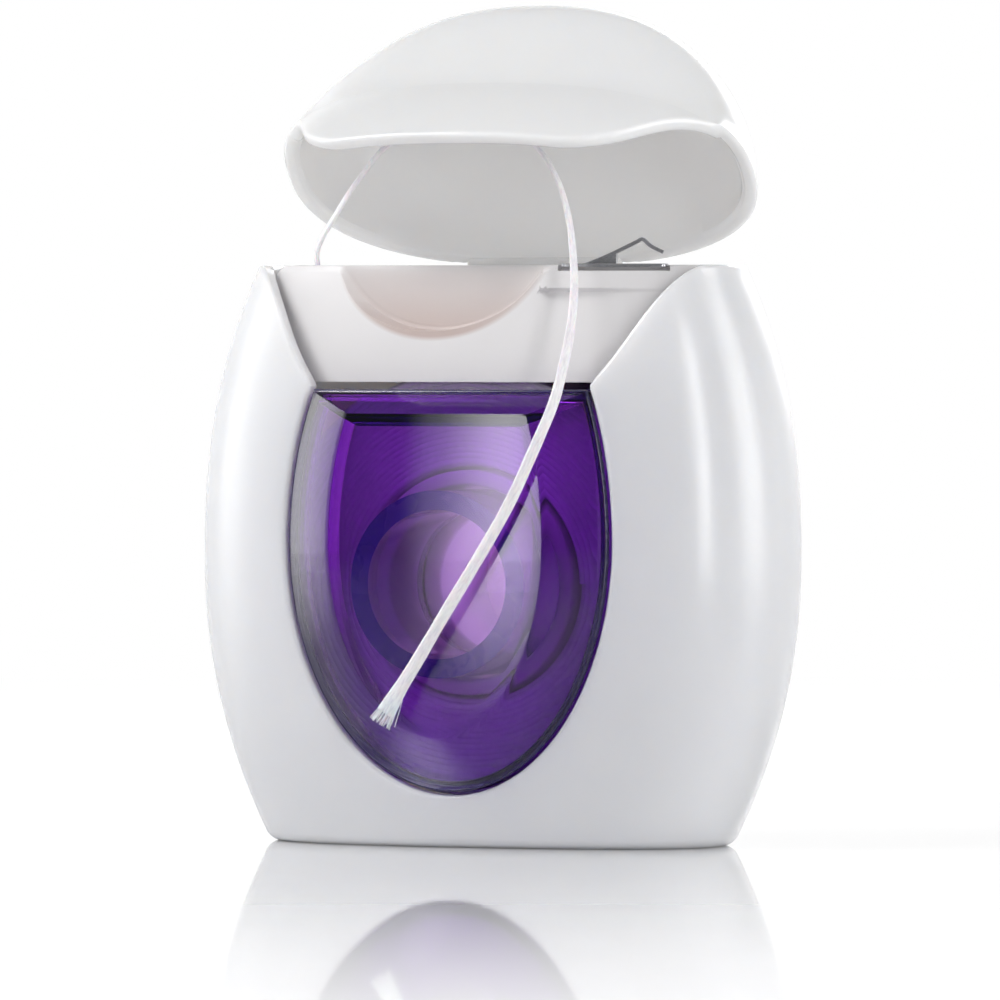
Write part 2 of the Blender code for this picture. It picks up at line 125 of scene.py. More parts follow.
def setSurface(tree, inputs):
    addNode(tree, "ShaderNodeOutputMaterial", {"Surface": addNode(tree, "ShaderNodeBsdfPrincipled", inputs)})


def newGroup(name, inputs):
    # a Geometry Nodes group with one input for each label, kind and value
    tree = bpy.data.node_groups.new(name, "GeometryNodeTree")
    for label, kind, value in inputs:
        socket = tree.interface.new_socket(label, in_out="INPUT", socket_type="NodeSocket" + kind)
        if value is not None:
            socket.default_value = value
    tree.interface.new_socket("Geometry", in_out="OUTPUT", socket_type="NodeSocketGeometry")
    return tree, addNode(tree, "NodeGroupInput").node.outputs


def sweptTube(tree, curve, sides, radius, finish):
    # ends a group: a round tube along every curve, made real and given its material
    ring = addNode(tree, "GeometryNodeCurvePrimitiveCircle", {"Resolution": sides, "Radius": radius})
    inputs = {"Curve": curve, "Profile Curve": ring, "Fill Caps": True}
    tube = addNode(tree, "GeometryNodeCurveToMesh", inputs)
    real = addNode(tree, "GeometryNodeRealizeInstances", {"Geometry": tube})
    coat = addNode(tree, "GeometryNodeSetMaterial", {"Geometry": real, "Material": finish})
    addNode(tree, "NodeGroupOutput", {"Geometry": coat})


# Small helpers for meshes and outlines

def meshFrom(name, points, faces):
    mesh = bpy.data.meshes.new(name)
    mesh.from_pydata([tuple(p) for p in np.asarray(points) * mm], [], faces)
    mesh.update()
    return mesh


def newPiece(name, mesh):
    piece = bpy.data.objects.new(name, mesh)
    scene.collection.objects.link(piece)
    return piece


def joinMeshes(target, sources):
    work = bmesh.new()
    for source in sources:
        work.from_mesh(source)
    work.to_mesh(target)
    work.free()


def turnOutwards(mesh):
    work = bmesh.new()
    work.from_mesh(mesh)
    bmesh.ops.remove_doubles(work, verts=work.verts, dist=0.0005 * mm)
    bmesh.ops.recalc_face_normals(work, faces=work.faces)
    work.to_mesh(mesh)
    work.free()


def ringFaces(count, levels, closed):
    faces = []
    for j in range(levels if closed else levels - 1):
        a, b = j * count, (j + 1) % levels * count
        faces += [(a + i, a + (i + 1) % count, b + (i + 1) % count, b + i) for i in range(count)]
    return faces


def stackedMesh(name, rings, startPole=None, endPole=None, closed=False):
    # skins rings of equal count; open ends get a point or one flat face
    rings = [np.asarray(r, float) for r in rings]
    count = len(rings[0])
    points = list(np.concatenate(rings))
    faces = ringFaces(count, len(rings), closed)
    last = (len(rings) - 1) * count
    if not closed:
        for pole, base, turn in ((startPole, 0, 1), (endPole, last, -1)):
            order = list(range(base, base + count))[::-turn]
            if pole is None:
                faces.append(tuple(order))
            else:
                points.append(np.asarray(pole, float))
                tip = len(points) - 1
                faces += [(order[i], order[(i + 1) % count], tip) for i in range(count)]
    mesh = meshFrom(name, points, faces)
    turnOutwards(mesh)
    return mesh


def plainMesh(piece):
    # keeps what the modifiers made and drops them
    graph = bpy.context.evaluated_depsgraph_get()
    mesh = bpy.data.meshes.new_from_object(piece.evaluated_get(graph))
    piece.modifiers.clear()
    piece.data = mesh
    mesh.name = piece.name
    return piece


def combine(piece, mesh, operation):
    tool = newPiece("tool", mesh)
    step = piece.modifiers.new(operation.lower(), "BOOLEAN")
    step.operation, step.solver, step.object = operation, "EXACT", tool
    plainMesh(piece)
    bpy.data.objects.remove(tool)


def fillSockets(name, tree, values):
    # gives the modifier its inputs by their identifiers and keeps the mesh that it makes
    sockets = {}
    for item in tree.interface.items_tree:
        if item.item_type == "SOCKET" and item.in_out == "INPUT":
            sockets[item.name] = item.identifier
    piece = newPiece(name, bpy.data.meshes.new(name))
    step = piece.modifiers.new(tree.name, "NODES")
    step.node_group = tree
    for label, value in values.items():
        step[sockets[label]] = value
    return plainMesh(piece)


def dress(piece, material, body, nodes=(), sharpAngle=38):
    mesh = piece.data
    mesh.materials.clear()
    mesh.materials.append(material)
    mesh.shade_smooth()
    mesh.set_sharp_from_angle(angle=radians(sharpAngle))
    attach(piece, body)
    if nodes:
        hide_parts(*nodes)
    return piece


def unit(rows):
    return rows / np.linalg.norm(rows, axis=1)[:, None]


def circle(radius, count):
    angles = 2 * pi * np.arange(count) / count
    return radius * np.cos(angles), radius * np.sin(angles)


def quarter(steps, first=0):
    # what a rounding leaves of its radius on each side, step by step through a right angle
    angles = pi / 2 * np.arange(first, steps + 1) / steps
    return list(zip(1 - np.cos(angles), 1 - np.sin(angles)))


# Camera first: a long lens, 23 degrees to the right and 1 degree up

cameraPlace = {
    "azimuth": 23, "elevation": 1, "distance": 900, "target": (-0.1, 0, 28.9), "lens": 384, "sensor": 36,
    "near": 0.01, "far": 50,
}
# level direction from the object to the camera
towardsCamera = (0.39, -0.92, 0.0)


def placeCamera():
    place = cameraPlace
    a, e = radians(place["azimuth"]), radians(place["elevation"])
    back = Vector((sin(a) * cos(e), -cos(a) * cos(e), sin(e)))
    data = bpy.data.cameras.new("photoCamera")
    data.lens, data.sensor_width = place["lens"], place["sensor"]
    data.clip_start, data.clip_end = place["near"], place["far"]
    camera = newPiece("photoCamera", data)
    camera.location = (Vector(place["target"]) + back * place["distance"]) * mm
    camera.rotation_mode = "QUATERNION"
    camera.rotation_quaternion = (-back).to_track_quat("-Z", "Y")
    scene.camera = camera


placeCamera()
print("camera placed")


# Floss: a waxed flat ribbon of fine filaments

flossTail = {
    "hole": (-15.4, -3.4, 48.25),
    "route": (
        (-15.4, -3.4, 50.2), (-13.6, -3.6, 53.0), (-11.4, -3.6, 56.1), (-8.6, -3.4, 59.0),
        (-3.4, -3.1, 60.7), (1.6, -3.9, 60.6), (5.2, -5.6, 59.0), (8.0, -7.2, 56.1),
        (9.7, -8.5, 52.6), (10.6, -9.6, 49.0), (11.2, -11.0, 45.2), (11.1, -12.9, 40.5),
        (10.3, -14.4, 36.0), (6.7, -15.9, 27.6), (1.3, -16.3, 18.9), (-3.6, -16.0, 11.4),
    ),
    "widths": (
        (0, 0.62), (0.12, 0.56), (0.42, 0.6), (0.55, 0.8), (0.7, 0.95), (0.9, 1.0), (0.965, 1.15), (1, 1.6),
    ),
    "turns": ((0, 50), (0.3, 62), (0.5, 30), (0.6, 12), (0.75, 0), (1, -8)),
    "thickness": 0.42, "step": 0.4, "around": 20,
}


def smoothRoute(points, step, fineSteps=40):
    # a smooth curve through the points, read off at an even step
    points = [Vector(p) for p in points]
    ends = [points[0] * 2 - points[1]] + points + [points[-1] * 2 - points[-2]]
    fine = []
    for a, b, c, d in zip(ends, ends[1:], ends[2:], ends[3:]):
        for i in range(fineSteps):
            t = i / fineSteps
            square, cube = 2 * a - 5 * b + 4 * c - d, 3 * b - a - 3 * c + d
            fine.append(0.5 * (2 * b + (c - a) * t + square * t * t + cube * t**3))
    fine.append(points[-1])
    fine = np.array([tuple(p) for p in fine])
    along = np.r_[0, np.cumsum(np.linalg.norm(np.diff(fine, axis=0), axis=1))]
    count = max(2, round(along[-1] / step))
    spots = np.linspace(0, along[-1], count + 1)
    return np.stack([np.interp(spots, along, fine[:, k]) for k in range(3)], 1), spots


def fibreCoordinates(mesh, points, spots, sides, flats, chunk=2000):
    # writes each point's place across, along and through the ribbon in millimetres, for the streaks
    values = np.zeros((len(mesh.vertices), 3), np.float32)
    places = np.array([v.co for v in mesh.vertices]) / mm
    for start in range(0, len(places), chunk):
        part = places[start:start + chunk]
        near = ((part[:, None, :] - points[None]) ** 2).sum(2).argmin(1)
        offset = part - points[near]
        across, through = (offset * sides[near]).sum(1), (offset * flats[near]).sum(1)
        values[start:start + chunk] = np.stack([across, spots[near], through], 1)
    layer = mesh.attributes.new("fibre", "FLOAT_VECTOR", "POINT")
    layer.data.foreach_set("vector", values.ravel())


def ribbonMesh(name, settings, points, spots):
    # carries a flat oval along the route, turning it as the real ribbon twists
    share = spots / spots[-1]
    widths = np.interp(share, *zip(*settings["widths"]))
    turns = np.radians(np.interp(share, *zip(*settings["turns"])))[:, None]
    ahead = unit(np.gradient(points, axis=0))
    side = unit(np.cross(ahead, towardsCamera))
    flat = np.cross(side, ahead)
    sides = side * np.cos(turns) + flat * np.sin(turns)
    flats = flat * np.cos(turns) - side * np.sin(turns)
    angles = 2 * pi * np.arange(settings["around"]) / settings["around"]
    rings = []
    for p, w, s, f in zip(points, widths, sides, flats):
        thick = settings["thickness"] * min(1, 0.75 + 0.25 * w)
        lumps = 1 + 0.05 * np.sin(3 * angles + 0.6 * p[2]) + 0.035 * np.sin(5 * angles - 0.9 * p[2])
        across, through = np.cos(angles) * w / 2 * lumps, np.sin(angles) * thick / 2 * lumps
        rings.append(p + across[:, None] * s + through[:, None] * f)
    mesh = stackedMesh(name, rings, points[0], points[-1])
    fibreCoordinates(mesh, points, spots, sides, flats)
    return mesh, sides[-1], flats[-1]


def flossMaterial(name):
    # waxed nylon floss, drawn as parallel filaments: a soft satin white with fine lengthwise streaks
    material, tree = emptyMaterial(name)
    fibre = addNode(tree, "ShaderNodeAttribute", output="Vector", attribute_name="fibre")
    stretch = addNode(tree, "ShaderNodeMapping", {"Vector": fibre, "Scale": (1.0, 0.16, 1.0)})
    # filaments of 0.03 mm are too fine to show, so the streaks are about 0.12 mm apart
    inputs = {"Vector": stretch, "Scale": 8.0, "Detail": 3.0, "Roughness": 0.6}
    streak = addNode(tree, "ShaderNodeTexNoise", inputs)
    setSurface(tree, {
        "Base Color": twoTones(tree, streak, "#E6E3EA", "#F6F5F7", 0.34, 0.58), "IOR": 1.53,
        "Roughness": remap(tree, streak, 0, 1, 0.42, 0.62), "Normal": bump(tree, streak, 0.3, 0.04),
        "Subsurface Weight": 0.25, "Subsurface Scale": 0.3 * mm,
        "Sheen Weight": 0.25, "Sheen Roughness": 0.4,
    })
    return material


waxedFloss = flossMaterial("waxed nylon floss")

frayedEnd = {
    "count": 46, "length": 2.3, "radius": 0.035, "width": 1.2, "spread": 11, "seed": 4, "startShare": 0.62,
}


def frayTree():
    # single filaments that leave the cut end of the ribbon at slightly different angles
    tree, given = newGroup("frayedEnd", (
        ("Count", "Int", 40), ("Length", "Float", 2 * mm), ("Radius", "Float", 0.03 * mm),
        ("Width", "Float", 1.3 * mm), ("Spread", "Float", 0.2), ("Seed", "Int", 4),
        ("Finish", "Material", None),
    ))
    index = addNode(tree, "GeometryNodeInputIndex")
    middle = maths(tree, "SUBTRACT", maths(tree, "DIVIDE", index, given["Count"]), 0.5)
    inputs = {0: (-1, -1, -1), 1: (1, 1, 1), "Seed": given["Seed"]}
    chance = addNode(tree, "FunctionNodeRandomValue", inputs, data_type="FLOAT_VECTOR")
    lift = vectors(tree, "MULTIPLY", chance, (0.05 * mm, 0.13 * mm, 0.3 * mm))
    line = addNode(tree, "ShaderNodeCombineXYZ", {"X": maths(tree, "MULTIPLY", middle, given["Width"])})
    spots = addNode(tree, "GeometryNodeMeshLine", {"Count": given["Count"]})
    inputs = {"Geometry": spots, "Position": vectors(tree, "ADD", line, lift)}
    placed = addNode(tree, "GeometryNodeSetPosition", inputs)
    # the outer filaments lean out further
    fan = maths(tree, "MULTIPLY", maths(tree, "MULTIPLY", middle, given["Spread"]), 2.0)
    inputs = {0: chance, "Scale": given["Spread"]}
    loose = addNode(tree, "ShaderNodeVectorMath", inputs, operation="SCALE")
    tilt = addNode(tree, "ShaderNodeCombineXYZ", {"Y": fan})
    turned = vectors(tree, "MULTIPLY_ADD", loose, (0.5, 0.6, 1), tilt)
    end = addNode(tree, "ShaderNodeCombineXYZ", {"Z": given["Length"]})
    strand = addNode(tree, "GeometryNodeCurvePrimitiveLine", {"End": end})
    inputs = {"Points": placed, "Instance": strand, "Rotation": turned}
    copies = addNode(tree, "GeometryNodeInstanceOnPoints", inputs)
    real = addNode(tree, "GeometryNodeRealizeInstances", {"Geometry": copies})
    sweptTube(tree, real, 6, given["Radius"], given["Finish"])
    return tree


def makeTail():
    end = frayedEnd
    points, spots = smoothRoute((flossTail["hole"],) + flossTail["route"], flossTail["step"])
    mesh, side, flat = ribbonMesh("floss", flossTail, points, spots)
    fray = fillSockets("fray", frayTree(), {
        "Count": end["count"], "Length": end["length"] * mm, "Radius": end["radius"] * mm,
        "Width": end["width"] * mm, "Spread": radians(end["spread"]), "Seed": end["seed"],
        "Finish": waxedFloss,
    })
    # the filaments start a little before the end and run on past it
    ahead = Vector(points[-1] - points[-6]).normalized()
    start = Vector(points[-1]) - ahead * end["length"] * end["startShare"]
    frameAtEnd = Matrix((side, flat, ahead)).transposed().to_4x4()
    fray.data.transform(Matrix.Translation(start * mm) @ frameAtEnd)
    joinMeshes(mesh, (mesh, fray.data))
    bpy.data.objects.remove(fray)
    tail = newPiece("floss", mesh)
    dress(tail, waxedFloss, "case", ("floss_tail",), sharpAngle=60)
    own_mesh(tail)


makeTail()
print("floss made")


# White mouldings: injection-moulded polypropylene

def mouldedMaterial(name, dark, light, gloss, skin, deep, reach=1.2):
    # moulded polypropylene: a milky white with a soft gloss, faint flow clouds and a very fine skin
    material, tree = emptyMaterial(name)
    # flow clouds about 14 mm across, skin ripple about 0.5 mm, wear about 3 mm
    cloud, ripple, wear = noise(tree, 14, 3), noise(tree, 0.5, 2), noise(tree, 3, 4, 0.6)
    setSurface(tree, {
        "Base Color": twoTones(tree, cloud, dark, light), "IOR": 1.49,
        "Roughness": remap(tree, wear, 0, 1, *gloss), "Normal": bump(tree, ripple, skin, 0.02),
        "Subsurface Weight": deep, "Subsurface Scale": reach * mm, "Subsurface Radius": (1.0, 0.93, 0.85),
    })
    return material


glossyWhite = mouldedMaterial(
    "glossy moulded polypropylene", "#E4E4E7", "#E9E9EB", (0.16, 0.24), 0.12, 0.9, reach=3.0)
satinWhite = mouldedMaterial("satin moulded polypropylene", "#E3E1E2", "#E8E6E7", (0.34, 0.46), 0.2, 0.15)
# the lid's thin wall lets light through to its inside
thinWhite = mouldedMaterial(
    "thin moulded polypropylene", "#ECECED", "#F0F0EF", (0.16, 0.24), 0.12, 0.8, reach=3.5)

bodyShape = {
    "halfWidth": 26.3, "halfDepth": 13.2, "deckHeight": 48.7, "widestHeight": 24.5, "planPower": 2.4,
    "topDrop": (0.185, 0.227, 2.3), "footDrop": (0.225, 0.24, 2.14),
    "wall": 1.3, "footRound": 0.8, "floorRound": 0.8, "rimRound": 0.4, "columns": 256, "levels": 70,
    "innerLevels": 40,
    "notchTop": 19.9, "notchFoot": 13.1, "notchRise": 9.3, "notchBack": 3.6,
    "notchPulls": ((0.603, 0.806), (0.368, 0.312)),
    "cutRound": 0.4, "cutStart": 20, "cutStep": 0.4, "cutPast": 5.0, "cutNear": 0.15,
    "ledge": (0.8, 5.8, 27.0, 38.6, 2.4), "hingeBead": 0.55, "hingeLength": 14.0, "gap": 0.3,
}
windowShape = {
    "halfWidth": 14.8, "middle": 25.5, "lower": 21.1, "upper": 24.9, "top": 38.6, "plate": 1.2,
    "bevel": 4.75, "topBevel": 2.0, "proud": 1.5, "bulge": 0.12, "sunk": 0.25,
    "skirt": 3.0, "skirtWall": 1.1, "sidePoints": 84, "topPoints": 40, "edgeRound": 0.28,
    "hubPoints": 128, "hubSeam": 0.02, "bevelRows": 14, "faceRows": 16,
}
spoolShape = {
    "height": 22.1, "hubRadius": 7.8, "hubWall": 1.6, "hubGap": 4.0, "hubRound": 0.25, "hubSides": 96,
    "coreWall": 1.3, "coreHalf": 7.0, "coreRound": 0.3, "windingRadius": 18.0, "windingHalf": 6.7,
    "around": 128,
}


def caseSection(z):
    # half width and half depth of the case's outside at a height
    body = bodyShape
    z = np.asarray(z, float)
    up = np.clip((z - body["widestHeight"]) / (body["deckHeight"] - body["widestHeight"]), 0, 1)
    down = np.clip((body["widestHeight"] - z) / body["widestHeight"], 0, 1)
    up, down = up ** body["topDrop"][2], down ** body["footDrop"][2]
    width, depth = (1 - body["topDrop"][k] * up - body["footDrop"][k] * down for k in (0, 1))
    return body["halfWidth"] * width, body["halfDepth"] * depth


def planShares(count, ratio=0.509):
    # points spread evenly round the superellipse, as shares of its half width and half depth
    power = 2 / bodyShape["planPower"]
    t = np.linspace(0, 2 * pi, 40001)
    c, s = np.cos(t), np.sin(t)
    x, y = np.abs(c) ** power * np.sign(c), np.abs(s) ** power * np.sign(s)
    along = np.r_[0, np.cumsum(np.hypot(np.diff(x), ratio * np.diff(y)))]
    spots = (np.arange(count) + 0.5) / count * along[-1]
    return np.interp(spots, along, x), np.interp(spots, along, y)


def planRing(shares, width, depth, z, front=None, forward=0.0):
    x, y = shares
    depth = np.where(y > 0, depth, depth if front is None else front)
    return np.stack([x * width, y * depth - forward, np.broadcast_to(np.asarray(z, float), x.shape)], 1)


def frontFace(x, z, inset):
    width, depth = caseSection(z)
    across = np.minimum(np.abs(x) / width, 1)
    power = bodyShape["planPower"]
    return -depth * (1 - across ** power) ** (1 / power) + inset


def windowEdgeWidth(z):
    pane = windowShape
    radius = pane["upper"] if z > pane["middle"] else pane["lower"]
    return pane["halfWidth"] * sqrt(1 - min(abs(z - pane["middle"]) / radius, 1) ** 2)


def notchSide(gap, steps=40):
    # the notch's right side from the deck down to the window, drawn in by a gap
    body = bodyShape
    top = np.array((body["notchTop"], body["deckHeight"]))
    foot = np.array((body["notchFoot"], body["deckHeight"] - body["notchRise"]))
    upper, lower = (foot + (top - foot) * pull for pull in body["notchPulls"])
    t = np.linspace(0, 1, steps + 1)[:, None]
    place = (1 - t) ** 3 * top + 3 * t * (1 - t) ** 2 * upper + 3 * t * t * (1 - t) * lower + t**3 * foot
    along = (1 - t) ** 2 * (upper - top) + 2 * t * (1 - t) * (lower - upper) + t * t * (foot - lower)
    points = place + unit(np.stack([along[:, 1], -along[:, 0]], 1)) * gap
    low = (windowEdgeWidth(windowShape["top"]) - gap, windowShape["top"] + gap)
    return np.vstack([points, [low]])


def windowOutline(inset, topInset):
    pane = windowShape
    half, high, deep = (pane[name] - inset for name in ("halfWidth", "upper", "lower"))
    top = pane["top"] - topInset
    start = np.arcsin(min(1, (top - pane["middle"]) / high))
    angles = np.linspace(start, -pi / 2, pane["sidePoints"] + 1)
    rise = np.where(angles > 0, high, deep)
    side = np.stack([half * np.cos(angles), pane["middle"] + rise * np.sin(angles)], 1)
    across, n = side[0, 0], pane["topPoints"]
    run = [(-across + 2 * across * i / n, top) for i in range(1, n)]
    return np.vstack([side, side[-2::-1] * (-1, 1), run])


def evenOutline(outline, step):
    closed = np.vstack([outline, outline[:1]])
    along = np.r_[0, np.cumsum(np.linalg.norm(np.diff(closed, axis=0), axis=1))]
    count = int(along[-1] / step)
    spots = np.arange(count) / count * along[-1]
    return np.stack([np.interp(spots, along, closed[:, k]) for k in (0, 1)], 1)


def offsetOutline(outline, distance):
    after = np.roll(outline, -1, 0)
    ahead = unit(after - np.roll(outline, 1, 0))
    area = 0.5 * np.sum(outline[:, 0] * after[:, 1] - after[:, 0] * outline[:, 1])
    return outline + np.stack([ahead[:, 1], -ahead[:, 0]], 1) * np.sign(area) * distance


def tubeMesh(name, inner, outer, front, back, edge, segments):
    # a tube about the spool's axis with its four rims rounded
    profile = []
    for radius, y, turn in ((outer, back, 0), (inner, back, 1), (inner, front, 2), (outer, front, 3)):
        r, middle = radius + (edge if radius == inner else -edge), y + (edge if y == front else -edge)
        for i in range(4):
            angle = pi / 2 * (turn + i / 3)
            profile.append((r + edge * cos(angle), middle + edge * sin(angle)))
    height = spoolShape["height"]
    rings = [[(r * x, y, height + r * z) for r, y in profile] for x, z in zip(*circle(1, segments))]
    return stackedMesh(name, rings, closed=True)


def rodMesh(name, radius, half, place, segments=32):
    # a rod along X with chamfered ends
    narrow, chamfer = radius * 0.7, radius * 0.3
    rings = []
    for x, r in ((-half, narrow), (-half + chamfer, radius), (half - chamfer, radius), (half, narrow)):
        y, z = circle(r, segments)
        rings.append(np.stack([np.full(segments, x + place[0]), place[1] + y, place[2] + z], 1))
    return stackedMesh(name, rings)


def hingePlace():
    body = bodyShape
    rear = float(caseSection(body["deckHeight"])[1]) - body["wall"] / 2
    return Vector((0, rear, body["deckHeight"] + body["gap"] / 2))


def softLower(a, b, blend):
    # the lower of two heights, with their meeting line blended
    h = np.clip(0.5 + 0.5 * (b - a) / blend, 0, 1)
    return b * (1 - h) + a * h - blend * h * (1 - h)


# Case shell

def makeCase():
    body, spool = bodyShape, spoolShape
    shares = planShares(body["columns"])
    wall, r, floor = body["wall"], body["rimRound"], body["wall"] + body["floorRound"]
    top = body["deckHeight"] - r

    def ring(z, inset, level=None):
        w, d = caseSection(z if level is None else level)
        return planRing(shares, w - inset, d - inset, z)

    # up the outside, over the rim, down the inside and in across the floor
    rings = [ring(body["footRound"] * near, body["footRound"] * far) for near, far in quarter(6)]
    rings += [ring(z, 0) for z in np.linspace(body["footRound"], top, body["levels"])[1:]]
    rings += [ring(top + r * (1 - far), r * near, top) for near, far in quarter(5, 1)]
    rings += [ring(top + r * (1 - near), wall - r * far, top) for near, far in quarter(5)]
    rings += [ring(z, wall) for z in np.linspace(top, floor, body["innerLevels"])[1:]]
    for near, far in quarter(4, 1):
        rings.append(ring(wall + body["floorRound"] * far, wall + body["floorRound"] * near, floor))
    case = newPiece("case", stackedMesh("case", rings))

    # ledges under the deck insert, inside both walls
    front, back, low, high, reach = body["ledge"]
    inner, power = float(caseSection(high)[0]) - wall - reach, body["planPower"]
    for side in (-1, 1):
        corners = []
        for z in (low, high):
            w, d = (float(v) for v in caseSection(z))
            ahead, behind = (w * (1 - (y / d) ** power) ** (1 / power) - wall / 2 for y in (front, back))
            places = ((inner, front), (ahead, front), (behind, back), (inner, back))
            corners.append([(side * x, y, z) for x, y in places])
        combine(case, stackedMesh("ledge", corners), "UNION")

    rear = float(caseSection(spool["height"] - spool["hubRadius"])[1]) - wall / 2
    outside, front, edge = spool["hubRadius"], spool["hubGap"] / 2, spool["hubRound"]
    hub = tubeMesh("hub", outside - spool["hubWall"], outside, front, rear, edge, spool["hubSides"])
    combine(case, hub, "UNION")

    # notch and window opening, with the outer edge of the cut rounded over
    right = notchSide(0)
    above = np.array([(body["notchTop"], body["deckHeight"] + 4)])
    window = windowOutline(0, 0)[1:2 * windowShape["sidePoints"]]
    outline = np.vstack([above, right, window, (right * (-1, 1))[::-1], above * (-1, 1)])
    outline = evenOutline(outline, body["cutStep"])
    start, e = radians(body["cutStart"]), body["cutRound"]
    flare = e * (1 - sin(start)) + (e * (1 - cos(start)) + body["cutNear"]) / tan(start)
    levels = [(flare, -body["cutPast"]), (flare, -body["cutNear"])]
    for angle in np.linspace(start, pi / 2, 6):
        levels.append((e * (1 - sin(angle)), e * (1 - cos(angle))))
    stack = []
    for away, deep in levels:
        line = offsetOutline(outline, away)
        y = frontFace(line[:, 0], np.minimum(line[:, 1], body["deckHeight"]), deep)
        stack.append(np.stack([line[:, 0], y, line[:, 1]], 1))
    stack.append(np.stack([outline[:, 0], np.full(len(outline), -body["notchBack"]), outline[:, 1]], 1))
    combine(case, stackedMesh("opening", stack), "DIFFERENCE")

    radius, half = body["hingeBead"] + body["gap"], body["hingeLength"] / 2 + body["gap"]
    combine(case, rodMesh("trough", radius, half, hingePlace()), "DIFFERENCE")
    return dress(case, glossyWhite, "case", ("case_shell",), sharpAngle=34)


print("case made", len(makeCase().data.polygons))


# Lid: a dome that carries on from the case, with a tongue down its front

lidShape = {
    "rise": 14.5, "power": 2.3, "startAngle": 12, "lean": 0.3, "wall": 1.2, "openAngle": 51, "corner": 4.0,
    "columns": 288, "tongueRows": 26, "domeRows": 44, "domeSpread": 1.35, "rimRound": 0.45, "rowsTop": 3,
}


def lidEdge(x, y):
    # height of the parting line at a point, with the chamfer behind the hinge
    body = bodyShape
    line = notchSide(body["gap"])[::-1]
    low, high = windowShape["top"] + body["gap"], body["deckHeight"] + body["gap"]
    edge = np.interp(np.abs(x), line[:, 0], line[:, 1], left=low, right=high)
    # the tongue's two lower corners are rounded
    foot, slope = line[1], (line[6, 1] - line[1, 1]) / (line[6, 0] - line[1, 0])
    side = np.where(np.abs(x) > foot[0], edge, foot[1] + (np.abs(x) - foot[0]) * slope)
    edge = np.maximum(edge, -softLower(-np.full_like(side, low), -side, lidShape["corner"]))
    beside = (np.abs(x) > line[-1, 0]) | (y > -body["notchBack"] - body["gap"])
    edge = np.where(beside, high, edge)
    hinge, angle = hingePlace(), radians(lidShape["openAngle"])
    behind = hinge.z + body["gap"] / 2 / cos(angle) + (y - hinge.y) * tan(angle)
    return np.where(y > hinge.y, np.maximum(edge, behind), edge)


def makeLid():
    body, cap = bodyShape, lidShape
    deck, wall, r = body["deckHeight"], cap["wall"], cap["rimRound"]
    shares = planShares(cap["columns"])

    def wallRing(inset, z):
        # the lid's wall at a height up to the deck, drawn in by an inset
        w, d = caseSection(z)
        return np.stack([shares[0] * (w - inset), shares[1] * (d - inset), z], 1)

    def edgeHeights(inset):
        # where each column of the wall meets the parting line, found by halving
        low, high = np.full(cap["columns"], 30.0), np.full(cap["columns"], deck + 2.0)
        for _ in range(50):
            z = (low + high) / 2
            below = z < lidEdge(*wallRing(inset, z)[:, :2].T)
            low, high = np.where(below, z, low), np.where(below, high, z)
        return (low + high) / 2

    def domeRings(inset):
        w, d = (float(v) - inset for v in caseSection(deck))
        power, start = 2 / cap["power"], radians(cap["startAngle"])
        low = sin(start) ** power
        shares01 = np.linspace(0, 1, cap["domeRows"] + 1)[3:-1]
        for a in start + (pi / 2 - start) * (1 - (1 - shares01) ** cap["domeSpread"]):
            shrink = (cos(a) / cos(start)) ** power
            climb = (cap["rise"] - inset) * (sin(a) ** power - low) / (1 - low)
            forward = cap["lean"] * climb * climb / cap["rise"]
            yield planRing(shares, w * shrink, d * shrink, deck + climb, forward=forward)

    def skin(inset):
        # rows from the parting line up to the dome's first ring, then over the dome
        edge = edgeHeights(inset) + r
        dome = list(domeRings(inset))
        base = wallRing(inset, np.full(cap["columns"], deck))
        rings = []
        for share in np.linspace(0, 1, cap["tongueRows"] + 1)[:-1]:
            z = np.minimum(edge + (np.maximum(deck, edge) - edge) * share, deck + cap["rowsTop"])
            ring = wallRing(inset, z)
            # columns whose edge is above the deck start on the dome's own slope
            over, part = z > deck, np.clip((z - deck) / (dome[0][:, 2] - deck), 0, 1)[:, None]
            ring[over] = (base + (dome[0] - base) * part)[over]
            rings.append(ring)
        rings.append(np.where((edge > deck)[:, None], rings[-1], base))
        rise = cap["rise"] - inset
        return rings + dome, (0, -cap["lean"] * rise**2 / cap["rise"], deck + rise)

    outer, outerPole = skin(0)
    inner, innerPole = skin(wall)
    rim = [(r * near, r * far) for near, far in quarter(5, 1)]
    rim += [(wall - r * far, r * near) for near, far in quarter(5)[:-1]]
    edges = [wallRing(inset, edgeHeights(inset) + lift) for inset, lift in rim]
    lid = newPiece("lid_cap", stackedMesh("lid", outer[::-1] + edges + inner, outerPole, innerPole))
    combine(lid, rodMesh("bead", body["hingeBead"], body["hingeLength"] / 2, hingePlace()), "UNION")
    hinge = Matrix.Translation(hingePlace() * mm)
    lid.data.transform(hinge @ Matrix.Rotation(-radians(cap["openAngle"]), 4, "X") @ hinge.inverted())
    return dress(lid, thinWhite, "lid", ("lid",), sharpAngle=40)


print("lid made", len(makeLid().data.polygons))


# Deck insert with its finger scoop, floss hole and cutter seat

